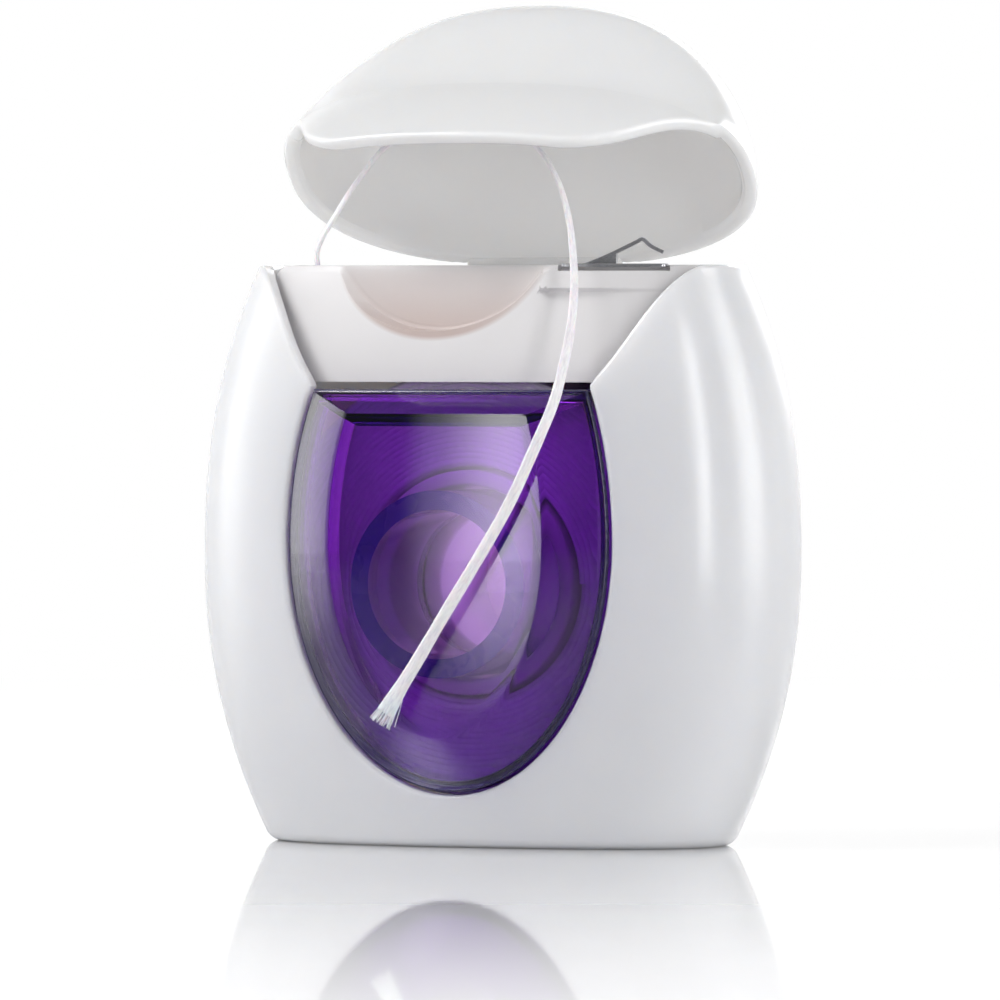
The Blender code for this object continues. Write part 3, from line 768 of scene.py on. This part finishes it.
insertShape = {
    "sideGap": 1.6, "recess": 3.2, "height": 9.8, "wall": 1.2, "round": 0.45, "topReach": 6.2,
    # below the height shadeFrom, the scoop's painted shade is at full strength
    "columns": 340, "rows": (18, 30, 44), "blend": 1.1, "shadeFrom": 43,
    "scoop": (-2.9, -10.0, 53.5), "scoopRadii": (12.0, 8.0, 11.0),
    "seat": (12.35, 11.4, 2.1, 0.9), "seatSoft": 0.22, "seatShare": 0.62, "hole": (-15.4, -3.4),
    "holeRims": (
        (0.6, 1.7), (0.12, 1.42), (0.0, 1.3), (-0.12, 1.13), (-0.3, 1.0), (-0.5, 0.95), (-2.2, 0.95),
    ),
    "holeSides": 48, "cutterTurn": 17, "cutter": (12.352, -4.752),
    "pocket": (9.4, 3.4, 0.5), "pocketRun": 4.0, "cutPast": 0.6,
}


def paintScoopShade(material, settings):
    # painted shade: the scoop's surface is tinted a warmer, darker grey towards its bottom, for the shade
    # that the lid casts into it
    tree = material.node_tree
    colour = next(n for n in tree.nodes if n.type == "BSDF_PRINCIPLED").inputs["Base Color"]
    place = objectPlace(tree)
    away = vectors(tree, "SUBTRACT", place, tuple(v * mm for v in settings["scoop"]))
    share = vectors(tree, "MULTIPLY", away, tuple(1 / (r * mm) for r in settings["scoopRadii"]))
    inside = remap(tree, vectors(tree, "LENGTH", share), 1.0, 1.035, 1.0, 0.0)
    height = addNode(tree, "ShaderNodeSeparateXYZ", {"Vector": place}, "Z")
    # the painted shade fades from full at shadeFrom to a quarter at the deck
    shadeByHeight = remap(tree, height, settings["shadeFrom"] * mm, bodyShape["deckHeight"] * mm, 1.0, 0.25)
    shadeAmount = maths(tree, "MULTIPLY", inside, shadeByHeight)
    # a warm grey, painted in as the scoop's shade
    inputs = {0: shadeAmount, 6: colour.links[0].from_socket, 7: hexColour("#C4B3AE")}
    tree.links.new(addNode(tree, "ShaderNodeMix", inputs, 2, data_type="RGBA"), colour)


def scoopHeight(x, y, extra):
    cx, cy, cz = insertShape["scoop"]
    rx, ry, rz = (r + extra for r in insertShape["scoopRadii"])
    inside, least = 1 - ((x - cx) / rx) ** 2 - ((y - cy) / ry) ** 2, 0.0004
    return np.where(inside > least, cz - rz * np.sqrt(np.maximum(inside, least)), cz)


def softStep(value, low, high, soft):
    rise = np.clip((value - low) / soft + 0.5, 0, 1)
    fall = np.clip((high - value) / soft + 0.5, 0, 1)
    return rise * rise * (3 - 2 * rise) * fall * fall * (3 - 2 * fall)


def makeInsert():
    plug = insertShape
    deck, r, soft = bodyShape["deckHeight"], plug["round"], plug["seatSoft"]
    low = deck - plug["height"]
    shares = planShares(plug["columns"], 0.37)
    seatX, seatWide, seatHigh, seatProud = plug["seat"]

    def skin(extra, top):
        # rings from the foot up the side, over a rounded edge and in across the top
        def ringAt(inset, z, level):
            w, d = caseSection(level)
            side, front = plug["sideGap"] + extra + inset, plug["recess"] + extra + inset
            ring = planRing(shares, w - side, d - side, z, d - front)
            if extra == 0:
                onSeat = softStep(ring[:, 0], seatX - seatWide / 2, seatX + seatWide / 2, soft)
                onSeat = onSeat * np.clip((ring[:, 2] - (deck - seatHigh)) / soft + 0.5, 0, 1)
                ring[:, 1] -= seatProud * onSeat * np.clip(-ring[:, 1] / (d - plug["recess"]), 0, 1) ** 6
            return ring

        def topAt(inset):
            x, y, z = ringAt(inset, top, deck).T
            return softLower(z, scoopHeight(x, y, extra), plug["blend"])

        edgeTop = topAt(r)
        rings = []
        lowRows, seatRows, topRows = plug["rows"]
        split = plug["seatShare"]
        for share in np.r_[np.linspace(0, split, lowRows)[:-1], np.linspace(split, 1, seatRows)]:
            z = low + (edgeTop - r - low) * share
            rings.append(ringAt(0, z, z))
        rings += [ringAt(r * near, edgeTop - r * far, deck) for near, far in quarter(5, 1)]
        insets = np.linspace(r, plug["topReach"] - extra, topRows)[1:]
        rings += [ringAt(inset, topAt(inset), deck) for inset in insets]
        return rings

    outer, inner = skin(0, deck), skin(plug["wall"], deck - plug["wall"])
    insert = newPiece("deck", stackedMesh("deck", inner[::-1] + outer))

    mouth = []
    for dz, radius in plug["holeRims"]:
        x, y = circle(radius, plug["holeSides"])
        mouth.append(np.stack([plug["hole"][0] + x, plug["hole"][1] + y, np.full(len(x), deck + dz)], 1))
    combine(insert, stackedMesh("hole", mouth), "DIFFERENCE")

    long, wide, deep = plug["pocket"]
    turn = Matrix.Rotation(radians(plug["cutterTurn"]), 3, "Z")
    front, back = -wide / 2 - plug["pocketRun"], wide / 2
    rings = []
    for z in (-deep, plug["cutPast"]):
        corners = ((-long / 2, front), (long / 2, front), (long / 2, back), (-long / 2, back))
        middle = Vector((*plug["cutter"], deck + z))
        rings.append([turn @ Vector((x, y, 0)) + middle for x, y in corners])
    combine(insert, stackedMesh("pocket", rings), "DIFFERENCE")
    return dress(insert, satinWhite, "case", ("deck_insert",), sharpAngle=34)


# paints shade into the scoop's colour
paintScoopShade(satinWhite, insertShape)
print("deck made", len(makeInsert().data.polygons))


# Window cover: clear violet polystyrene

def clearMaterial(name, tint, shadowTint, mean):
    # moulded crystal polystyrene: a clear surface over colour that deepens with the thickness looked through
    material, tree = emptyMaterial(name)
    # moulding ripple about 6 mm across
    ripple, smear = noise(tree, 6, 1), noise(tree, 4, 5)
    shader = addNode(tree, "ShaderNodeBsdfPrincipled", {
        "Base Color": hexColour("#F4F0FA"), "IOR": 1.59, "Transmission Weight": 1.0,
        "Roughness": remap(tree, smear, 0, 1, 0.01, 0.06), "Normal": bump(tree, ripple, 0.08, 0.05),
    })
    # light reaches the spool through the window, tinted once
    passing = addNode(tree, "ShaderNodeBsdfTransparent", {"Color": hexColour(shadowTint)})
    shadow = addNode(tree, "ShaderNodeLightPath", output="Is Shadow Ray")
    inputs = {"Color": hexColour(tint), "Density": 1 / (mean * mm)}
    addNode(tree, "ShaderNodeOutputMaterial", {
        "Surface": mixShaders(tree, shadow, shader, passing),
        "Volume": addNode(tree, "ShaderNodeVolumeAbsorption", inputs),
    })
    return material


def deepMaterial(name, dark, light):
    # the same violet polystyrene looked at along its wall, where its depth turns it navy
    material, tree = emptyMaterial(name)
    # moulding swirl about 3 mm across
    swirl = noise(tree, 3, 3, 0.8)
    setSurface(tree, {
        "Base Color": twoTones(tree, swirl, dark, light), "Roughness": remap(tree, swirl, 0, 1, 0.2, 0.35),
        "IOR": 1.59, "Subsurface Weight": 0.3, "Subsurface Scale": 0.8 * mm,
    })
    return material


violetClear = clearMaterial("violet crystal polystyrene", "#CA34E6", "#E2C8F4", 0.76)
violetDeep = deepMaterial("violet polystyrene seen end on", "#4A6294", "#5A72A0")
violetEdge = deepMaterial("violet polystyrene at its lip", "#1B1644", "#241E54")


def makeWindow():
    pane, spool, gap = windowShape, spoolShape, bodyShape["gap"]
    lip, points = pane["edgeRound"], pane["hubPoints"]

    # in from the edge: a rounded lip, the bevel, a crisp turn and the raised face
    levels = [(gap + lip * near, gap + lip * near, pane["sunk"] + lip * far) for near, far in quarter(4)]
    for share in np.linspace(0, 1, pane["bevelRows"])[1:]:
        inset, topInset = (lip + share * (pane[name] - lip) for name in ("bevel", "topBevel"))
        lift = share + pane["bulge"] * share * (1 - share)
        deep = pane["sunk"] - (pane["sunk"] + pane["proud"]) * min(1, lift)
        levels.append((gap + inset, gap + topInset, deep))
    face = levels[-1][2]

    def surface(extra, wall):
        rings = []
        for inset, topInset, deep in levels:
            x, z = windowOutline(inset + wall, topInset + wall).T
            rings.append(np.stack([x, frontFace(x, z, deep + extra), z], 1))
        middle = (pane["middle"] + spool["height"]) / 2
        last = rings[-1]
        for share in np.r_[0.985, np.linspace(0.94, 0.06, pane["faceRows"])]:
            x, z = last[:, 0] * share, middle + (last[:, 2] - middle) * share
            rings.append(np.stack([x, frontFace(x, z, face + extra), z], 1))
        return rings, (0, float(frontFace(0.0, middle, face + extra)), middle)

    outer, outerPole = surface(0, 0)
    inner, innerPole = surface(pane["plate"], pane["skirtWall"])
    skirtOut = outer[0] + (0, pane["skirt"], 0)
    skirtIn = np.stack([inner[0][:, 0], skirtOut[:, 1], inner[0][:, 2]], 1)
    rings = outer[::-1] + [skirtOut, skirtIn] + inner
    window = newPiece("window", stackedMesh("window", rings, outerPole, innerPole))
    plateFaces = len(window.data.polygons)

    # the hub tube stands on the back of the plate, whose curve its front rim follows
    wide, narrow = spool["hubRadius"], spool["hubRadius"] - spool["hubWall"]
    ends = []
    for radius, isFront in ((wide, False), (wide, True), (narrow, True), (narrow, False)):
        x, z = circle(radius, points)
        z += spool["height"]
        front = frontFace(x, z, pane["plate"] - pane["proud"] + pane["hubSeam"])
        ends.append(np.stack([x, front if isFront else np.full(points, -spool["hubGap"] / 2), z], 1))
    joinMeshes(window.data, (window.data, stackedMesh("hub", ends, closed=True)))
    dress(window, violetClear, "case", ("window_cover",), sharpAngle=22)
    # the lip and the hub's front rim are looked at along the plastic
    window.data.materials.append(violetEdge)
    window.data.materials.append(violetDeep)
    count = len(outer[0])
    lipFaces = range((len(outer) - 4) * count, (len(outer) - 1) * count)
    rimFaces = range(plateFaces + points, plateFaces + 2 * points)
    for slot, faces in ((1, lipFaces), (2, rimFaces)):
        for k in faces:
            window.data.polygons[k].material_index = slot
    return window


print("window made", len(makeWindow().data.polygons))


# Cutter: one stamped sheet with a tongue bent up out of it

cutterShape = {
    "length": 8.8, "width": 2.8, "sheet": 0.3, "low": -0.2, "soft": 0.06, "corner": 0.45,
    "root": 0.2, "peak": 0.76, "end": 0.96, "tongueWidth": 1.4, "halfThick": 0.14,
    "web": 2.9, "slotFrom": 0.3, "tongueStep": 0.14, "overlap": 0.1, "webInset": 0.02,
    # out of the sheet, up to the peak in a slight curve, over and down: from where, how far on, how high
    "tongue": (
        ("root", -0.5, 0.15), ("root", 0, 0.17), ("root", 0.5, 0.32), ("root", 2.2, 1.02),
        ("peak", -0.5, 2.1), ("peak", -0.12, 2.32), ("peak", 0.14, 2.28), ("peak", 0.75, 1.75),
        ("end", 0, 1.25),
    ),
    "halfWidths": ((0, 0.7), (0.6, 0.7), (0.8, 0.5), (1, 0.38)),
    "section": ((-1, -0.7), (-0.93, -1), (0.93, -1), (1, -0.7), (1, 0.7), (0.93, 1), (-0.93, 1), (-1, 0.7)),
}


def steelMaterial(name):
    # rolled and stamped stainless steel: cool grey with fine rolling lines along its length
    material, tree = emptyMaterial(name)
    turn = (0, 0, -radians(insertShape["cutterTurn"]))
    inputs = {"Vector": objectPlace(tree), "Rotation": turn, "Scale": (0.06, 1.0, 1.0)}
    along = addNode(tree, "ShaderNodeMapping", inputs)
    # rolling lines about 0.08 mm apart
    lines = noise(tree, 0.08, 3, place=along)
    setSurface(tree, {
        "Base Color": twoTones(tree, lines, "#A3A4A9", "#BBBCC0"), "Metallic": 1.0,
        "Roughness": remap(tree, lines, 0, 1, 0.26, 0.34), "Normal": bump(tree, lines, 0.15, 0.005),
    })
    return material


stampedSteel = steelMaterial("stamped stainless steel")


def makeCutter():
    blade, plug, gap = cutterShape, insertShape, bodyShape["gap"]
    halfLong, halfWide, r = blade["length"] / 2, blade["width"] / 2, blade["corner"]
    outline = []
    for sx, sy, first in ((1, 1, 0), (-1, 1, 1), (-1, -1, 2), (1, -1, 3)):
        for k in range(5):
            a = pi / 2 * (first + k / 4)
            outline.append((sx * (halfLong - r) + r * cos(a), sy * (halfWide - r) + r * sin(a)))
    low, high, soft = blade["low"], blade["low"] + blade["sheet"], blade["soft"]
    rings = []
    for shrink, z in ((soft, low), (0, low + soft), (0, high - soft), (soft, high)):
        line = offsetOutline(np.array(outline), -shrink)
        rings.append(np.stack([line[:, 0], line[:, 1], np.full(len(line), z)], 1))
    cutter = newPiece("cutter", stackedMesh("cutter", rings))

    # the slot that the tongue leaves in the sheet
    marks = {name: -halfLong + blade["length"] * blade[name] for name in ("root", "peak", "end")}
    half = blade["tongueWidth"] / 2
    left, right, side = marks["root"] + blade["slotFrom"], marks["end"] - gap, half + gap
    corners = ((left, -side), (right, -side), (right, side), (left, side))
    slot = [[(x, y, z) for x, y in corners] for z in (low - 1, high + 1)]
    combine(cutter, stackedMesh("slot", slot), "DIFFERENCE")

    route = [(marks[name] + on, 0, low + high) for name, on, high in blade["tongue"]]
    points, spots = smoothRoute(route, blade["tongueStep"])
    ahead = unit(np.gradient(points, axis=0))
    up = np.stack([-ahead[:, 2], np.zeros(len(ahead)), ahead[:, 0]], 1)
    widths = np.interp(spots / spots[-1], *zip(*blade["halfWidths"]))
    rings = []
    for p, n, h in zip(points, up, widths):
        thick = n * blade["halfThick"]
        rings.append([p + np.array((0, across * h, 0)) + thick * rise for across, rise in blade["section"]])
    combine(cutter, stackedMesh("tongue", rings), "UNION")

    # the drawn wall that closes the tongue's lower half
    on, foot = points[:, 0] - marks["root"], low + blade["overlap"]
    under = points[(on > -blade["overlap"]) & (on < blade["web"])]
    wall = [(under[0, 0], foot), (under[-1, 0], foot)] + [(p[0], p[2]) for p in under[::-1]]
    web = [[(x, y, z) for x, z in wall] for y in (blade["webInset"] - half, half - blade["webInset"])]
    combine(cutter, stackedMesh("web", web), "UNION")
    place = Matrix.Translation(Vector((*plug["cutter"], bodyShape["deckHeight"])) * mm)
    cutter.data.transform(place @ Matrix.Rotation(radians(plug["cutterTurn"]), 4, "Z"))
    dress(cutter, stampedSteel, "case", ("floss_cutter",), sharpAngle=30)


makeCutter()
print("cutter made")


# Spool: a moulded core and its turns of floss

# plain moulded polystyrene, uncoloured and matt
corePlastic = mouldedMaterial("matt moulded polystyrene", "#D6D3D4", "#DEDBDC", (0.45, 0.6), 0.3, 0.05)


def makeCore():
    spool = spoolShape
    inner, half, edge = spool["hubRadius"] + bodyShape["gap"], spool["coreHalf"], spool["coreRound"]
    mesh = tubeMesh("core", inner, inner + spool["coreWall"], -half, half, edge, spool["around"])
    dress(newPiece("core", mesh), corePlastic, "spool", ("bobbin_core",))


makeCore()

windingTurns = {
    "pitch": 0.46, "thickness": 0.7, "perTurn": 72, "wander": 0.06, "seed": 7, "margin": 0.05,
    "bodyGap": 0.02, "bodyRound": 0.5, "bodySides": 96,
}


def windingTree():
    # turns of floss: a spiral on both faces and a helix round the outside, wandering a little
    tree, given = newGroup("flossTurns", (
        ("Inner Radius", "Float", 9.9 * mm), ("Outer Radius", "Float", 17.6 * mm),
        ("Half Width", "Float", 6.3 * mm), ("Turns", "Float", 12.0), ("Floss Radius", "Float", 0.35 * mm),
        ("Wander", "Float", 0.06 * mm), ("Face", "Float", 1.0), ("Steps", "Int", 900), ("Seed", "Int", 7),
        ("Finish", "Material", None),
    ))
    inner, outer, half = given["Inner Radius"], given["Outer Radius"], given["Half Width"]

    def sums(operation, *terms):
        return maths(tree, operation, *terms)

    share = sums("DIVIDE", addNode(tree, "GeometryNodeInputIndex"), given["Steps"])
    angle = sums("MULTIPLY", share, sums("MULTIPLY", given["Turns"], 2 * pi))
    # Face 1 or -1 is a flat spiral on that side, Face 0 is the helix round the outside
    onFace = sums("ABSOLUTE", given["Face"])
    offFace = sums("SUBTRACT", 1.0, onFace)
    spiral = sums("ADD", inner, sums("MULTIPLY", sums("SUBTRACT", outer, inner), share))
    radius = sums("ADD", sums("MULTIPLY", onFace, spiral), sums("MULTIPLY", offFace, outer))
    spread = sums("MULTIPLY", half, sums("SUBTRACT", sums("MULTIPLY", share, 2.0), 1.0))
    across = sums("ADD", sums("MULTIPLY", given["Face"], half), sums("MULTIPLY", offFace, spread))
    inputs = {"W": sums("ADD", angle, given["Seed"]), "Scale": 0.9, "Detail": 1.0}
    drift = addNode(tree, "ShaderNodeTexNoise", inputs, noise_dimensions="1D")
    sway = sums("MULTIPLY", given["Wander"], sums("SUBTRACT", drift, 0.5))
    reach = sums("ADD", radius, sway)
    place = addNode(tree, "ShaderNodeCombineXYZ", {
        "X": sums("MULTIPLY", reach, sums("COSINE", angle)), "Y": sums("ADD", across, sway),
        "Z": sums("MULTIPLY", reach, sums("SINE", angle)),
    })
    line = addNode(tree, "GeometryNodeMeshLine", {"Count": given["Steps"]})
    moved = addNode(tree, "GeometryNodeSetPosition", {"Geometry": line, "Position": place})
    curve = addNode(tree, "GeometryNodeMeshToCurve", {"Mesh": moved})
    sweptTube(tree, curve, 7, given["Floss Radius"], given["Finish"])
    return tree


def windingMaterial(name):
    # wound waxed floss: satin white strands with darker gaps between the turns
    material, tree = emptyMaterial(name)
    # strands in patches about 0.6 mm across
    strand = noise(tree, 0.6, 4)
    setSurface(tree, {
        "Base Color": twoTones(tree, strand, "#E2E1E6", "#EDECEF"), "Normal": bump(tree, strand, 0.3, 0.02),
        "Roughness": 0.55, "IOR": 1.53, "Sheen Weight": 0.2,
    })
    return material


def makeWinding():
    spool, wound = spoolShape, windingTurns
    finish, tree = windingMaterial("wound waxed floss"), windingTree()
    half = wound["thickness"] / 2
    inner = spool["hubRadius"] + 2 * bodyShape["gap"] + spool["coreWall"] + half
    outer, side = (spool[name] - half - wound["margin"] for name in ("windingRadius", "windingHalf"))
    meshes = []
    for face in (-1, 1, 0):
        turns = (outer - inner if face else 2 * side) / wound["pitch"]
        holder = fillSockets("turns", tree, {
            "Inner Radius": inner * mm, "Outer Radius": outer * mm, "Half Width": side * mm,
            "Turns": float(turns), "Floss Radius": half * mm, "Wander": wound["wander"] * mm,
            "Face": float(face), "Steps": int(turns * wound["perTurn"]), "Seed": wound["seed"],
            "Finish": finish,
        })
        holder.data.transform(Matrix.Translation((0, 0, spool["height"] * mm)))
        meshes.append(holder.data)
        bpy.data.objects.remove(holder)
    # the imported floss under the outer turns
    core = inner - half + wound["bodyGap"]
    meshes.append(tubeMesh("body", core, outer, -side, side, wound["bodyRound"], wound["bodySides"]))
    mesh = bpy.data.meshes.new("winding")
    joinMeshes(mesh, meshes)
    return dress(newPiece("winding", mesh), finish, "spool", ("floss_winding",), sharpAngle=60)


print("spool made", len(makeWinding().data.polygons))

feedRibbon = {
    "route": ((-18.35, -1.6, 24.9), (-16.9, -2.5, 35.4), (-15.4, -3.4, 45.7), (-15.4, -3.4, 47.9)),
    "widths": ((0, 0.75), (0.9, 0.7), (1, 0.62)), "turns": ((0, 20), (1, 50)),
    "thickness": 0.42, "step": 0.5, "around": 16,
}


def makeFeed():
    points, spots = smoothRoute(feedRibbon["route"], feedRibbon["step"])
    feed = newPiece("feed", ribbonMesh("feed", feedRibbon, points, spots)[0])
    dress(feed, waxedFloss, "case", ("floss_feed",), sharpAngle=60)


makeFeed()
print("feed made")


# Floor and light: a glossy white table top under soft studio light

studioLight = {
    "room": 0.11, "floorMirror": 0.85, "fadeNear": 20, "fadeFar": 330, "whiteNear": 60, "whiteFar": 400,
    "scattered": 0.0007, "scatteredSize": 1.5, "scatteredBack": 4, "dimSide": (0.208, -0.978, 0.0),
    # name, azimuth, distance, height of the middle, width, tall, brightness, soft top and foot
    "lamps": (
        ("left", -86, 700, 215, 520, 450, 3.0, False), ("right", 51, 640, 190, 150, 400, 11.0, False),
        ("top", -55, 460, 560, 520, 520, 14.5, True), ("front", -14, 860, 115, 380, 240, 6.2, False),
        ("side", 97, 650, 240, 560, 500, 5.0, False), ("back", 180, 700, 300, 600, 500, 9.0, True),
    ),
}


def tableMaterial():
    # white high-gloss acrylic sheet: it mirrors what stands on it, more weakly further off
    light = studioLight
    material, tree = emptyMaterial("white gloss acrylic")
    place = objectPlace(tree)
    ahead = maths(tree, "ABSOLUTE", vectors(tree, "DOT_PRODUCT", place, towardsCamera))
    low, high = light["fadeNear"] * mm, light["fadeFar"] * mm
    fade = remap(tree, ahead, low, high, light["floorMirror"], 0.0, "SMOOTHSTEP")
    rays = addNode(tree, "ShaderNodeLightPath").node.outputs
    bounced = maths(tree, "MAXIMUM", rays["Is Glossy Ray"], rays["Is Transmission Ray"])
    # what the camera and the object see mirrored is weak from above and strong along the sheet
    grazing = addNode(tree, "ShaderNodeLayerWeight", {"Blend": 0.5}, "Facing")
    glancing = remap(tree, grazing, 0.75, 0.98, 0.1, 0.85)
    lowView = remap(tree, grazing, 0.55, 0.91, 0.06, 1.0)
    seen = maths(tree, "MULTIPLY", maths(tree, "MULTIPLY", fade, rays["Is Camera Ray"]), lowView)
    mirrorShare = maths(tree, "MULTIPLY_ADD", glancing, bounced, seen)
    matt = addNode(tree, "ShaderNodeBsdfDiffuse", {"Color": hexColour("#F4F4F5")})
    bounce = addNode(tree, "ShaderNodeBsdfDiffuse", {"Color": hexColour("#D6D6D7")})
    near = addNode(tree, "ShaderNodeAddShader", {0: matt, 1: emission(tree, 0.3)})
    low, high = light["whiteNear"] * mm, light["whiteFar"] * mm
    spread = remap(tree, vectors(tree, "LENGTH", place), low, high, 0.0, 1.0, "SMOOTHSTEP")
    white = mixShaders(tree, spread, near, emission(tree, 1.0))
    lit = mixShaders(tree, rays["Is Camera Ray"], bounce, white)
    mirror = addNode(tree, "ShaderNodeBsdfGlossy", {"Color": (1, 1, 1, 1), "Roughness": 0.03})
    addNode(tree, "ShaderNodeOutputMaterial", {"Surface": mixShaders(tree, mirrorShare, lit, mirror)})
    return material


def softbox(data, softEnds):
    # cloth over a lamp: brightest in its middle, fading to nothing at its sides and any soft ends
    tree = emptyTree(data)
    across = addNode(tree, "ShaderNodeNewGeometry", output="Parametric")
    both = vectors(tree, "MULTIPLY", across, vectors(tree, "SUBTRACT", (1, 1, 1), across))
    parts = addNode(tree, "ShaderNodeSeparateXYZ", {"Vector": both}).node.outputs
    sides, ends = (maths(tree, "POWER", maths(tree, "MULTIPLY", parts[axis], 4.0), 2.0) for axis in "XY")
    strength = maths(tree, "MULTIPLY", sides, ends) if softEnds else sides
    addNode(tree, "ShaderNodeOutputLight", {"Surface": emission(tree, strength)})


def makeTable():
    reach, far = 3000, 6000
    corners = [(-reach, -reach, 0), (reach, -reach, 0), (reach, far, 0), (-reach, far, 0)]
    table = newPiece("table", meshFrom("table", corners, [(0, 1, 2, 3)]))
    table.data.materials.append(tableMaterial())


def makeLamps():
    for name, azimuth, distance, height, wide, tall, bright, softEnds in studioLight["lamps"]:
        data = bpy.data.lights.new(name, "AREA")
        data.shape, data.size, data.size_y = "RECTANGLE", wide * mm, tall * mm
        data.energy = bright * pi * wide * tall * mm * mm
        softbox(data, softEnds)
        lamp = newPiece(name, data)
        place = Vector((distance * sin(radians(azimuth)), -distance * cos(radians(azimuth)), height))
        lamp.location = place * mm
        aim = Vector((0, 0, 30 if name == "top" else height)) - place
        lamp.rotation_euler = aim.to_track_quat("-Z", "Y").to_euler()
        lamp.visible_camera = False
    # light that the milky walls scatter into the hub
    data = bpy.data.lights.new("scattered", "POINT")
    data.energy, data.shadow_soft_size = studioLight["scattered"], studioLight["scatteredSize"] * mm
    lamp = newPiece("scattered", data)
    lamp.location = (0, studioLight["scatteredBack"] * mm, spoolShape["height"] * mm)
    lamp.visible_camera = lamp.visible_glossy = lamp.visible_transmission = False


def makeWorld():
    # a white backdrop behind the object and a dim room before it
    scene.world = bpy.data.worlds.new("studio")
    tree = emptyTree(scene.world)
    rays = addNode(tree, "ShaderNodeLightPath").node.outputs
    direction = addNode(tree, "ShaderNodeTexCoord", output="Generated")
    ahead = vectors(tree, "DOT_PRODUCT", direction, studioLight["dimSide"])
    up = addNode(tree, "ShaderNodeSeparateXYZ", {"Vector": direction}, "Z")
    backdrop, ceiling = remap(tree, ahead, 0.3, 0.5, 1.0, 0.0), remap(tree, up, 0.3, 0.65, 1.0, 0.2)
    bounced = maths(tree, "MAXIMUM", rays["Is Glossy Ray"], rays["Is Transmission Ray"])
    mirrored = maths(tree, "MULTIPLY", bounced, maths(tree, "MULTIPLY", backdrop, ceiling))
    seen = maths(tree, "MAXIMUM", mirrored, rays["Is Camera Ray"])
    strength = maths(tree, "MAXIMUM", seen, studioLight["room"])
    light = addNode(tree, "ShaderNodeBackground", {"Color": (1, 1, 1, 1), "Strength": strength})
    addNode(tree, "ShaderNodeOutputWorld", {"Surface": light})
    scene.view_settings.view_transform = "Standard"


makeTable()
makeLamps()
makeWorld()
print("studio made")
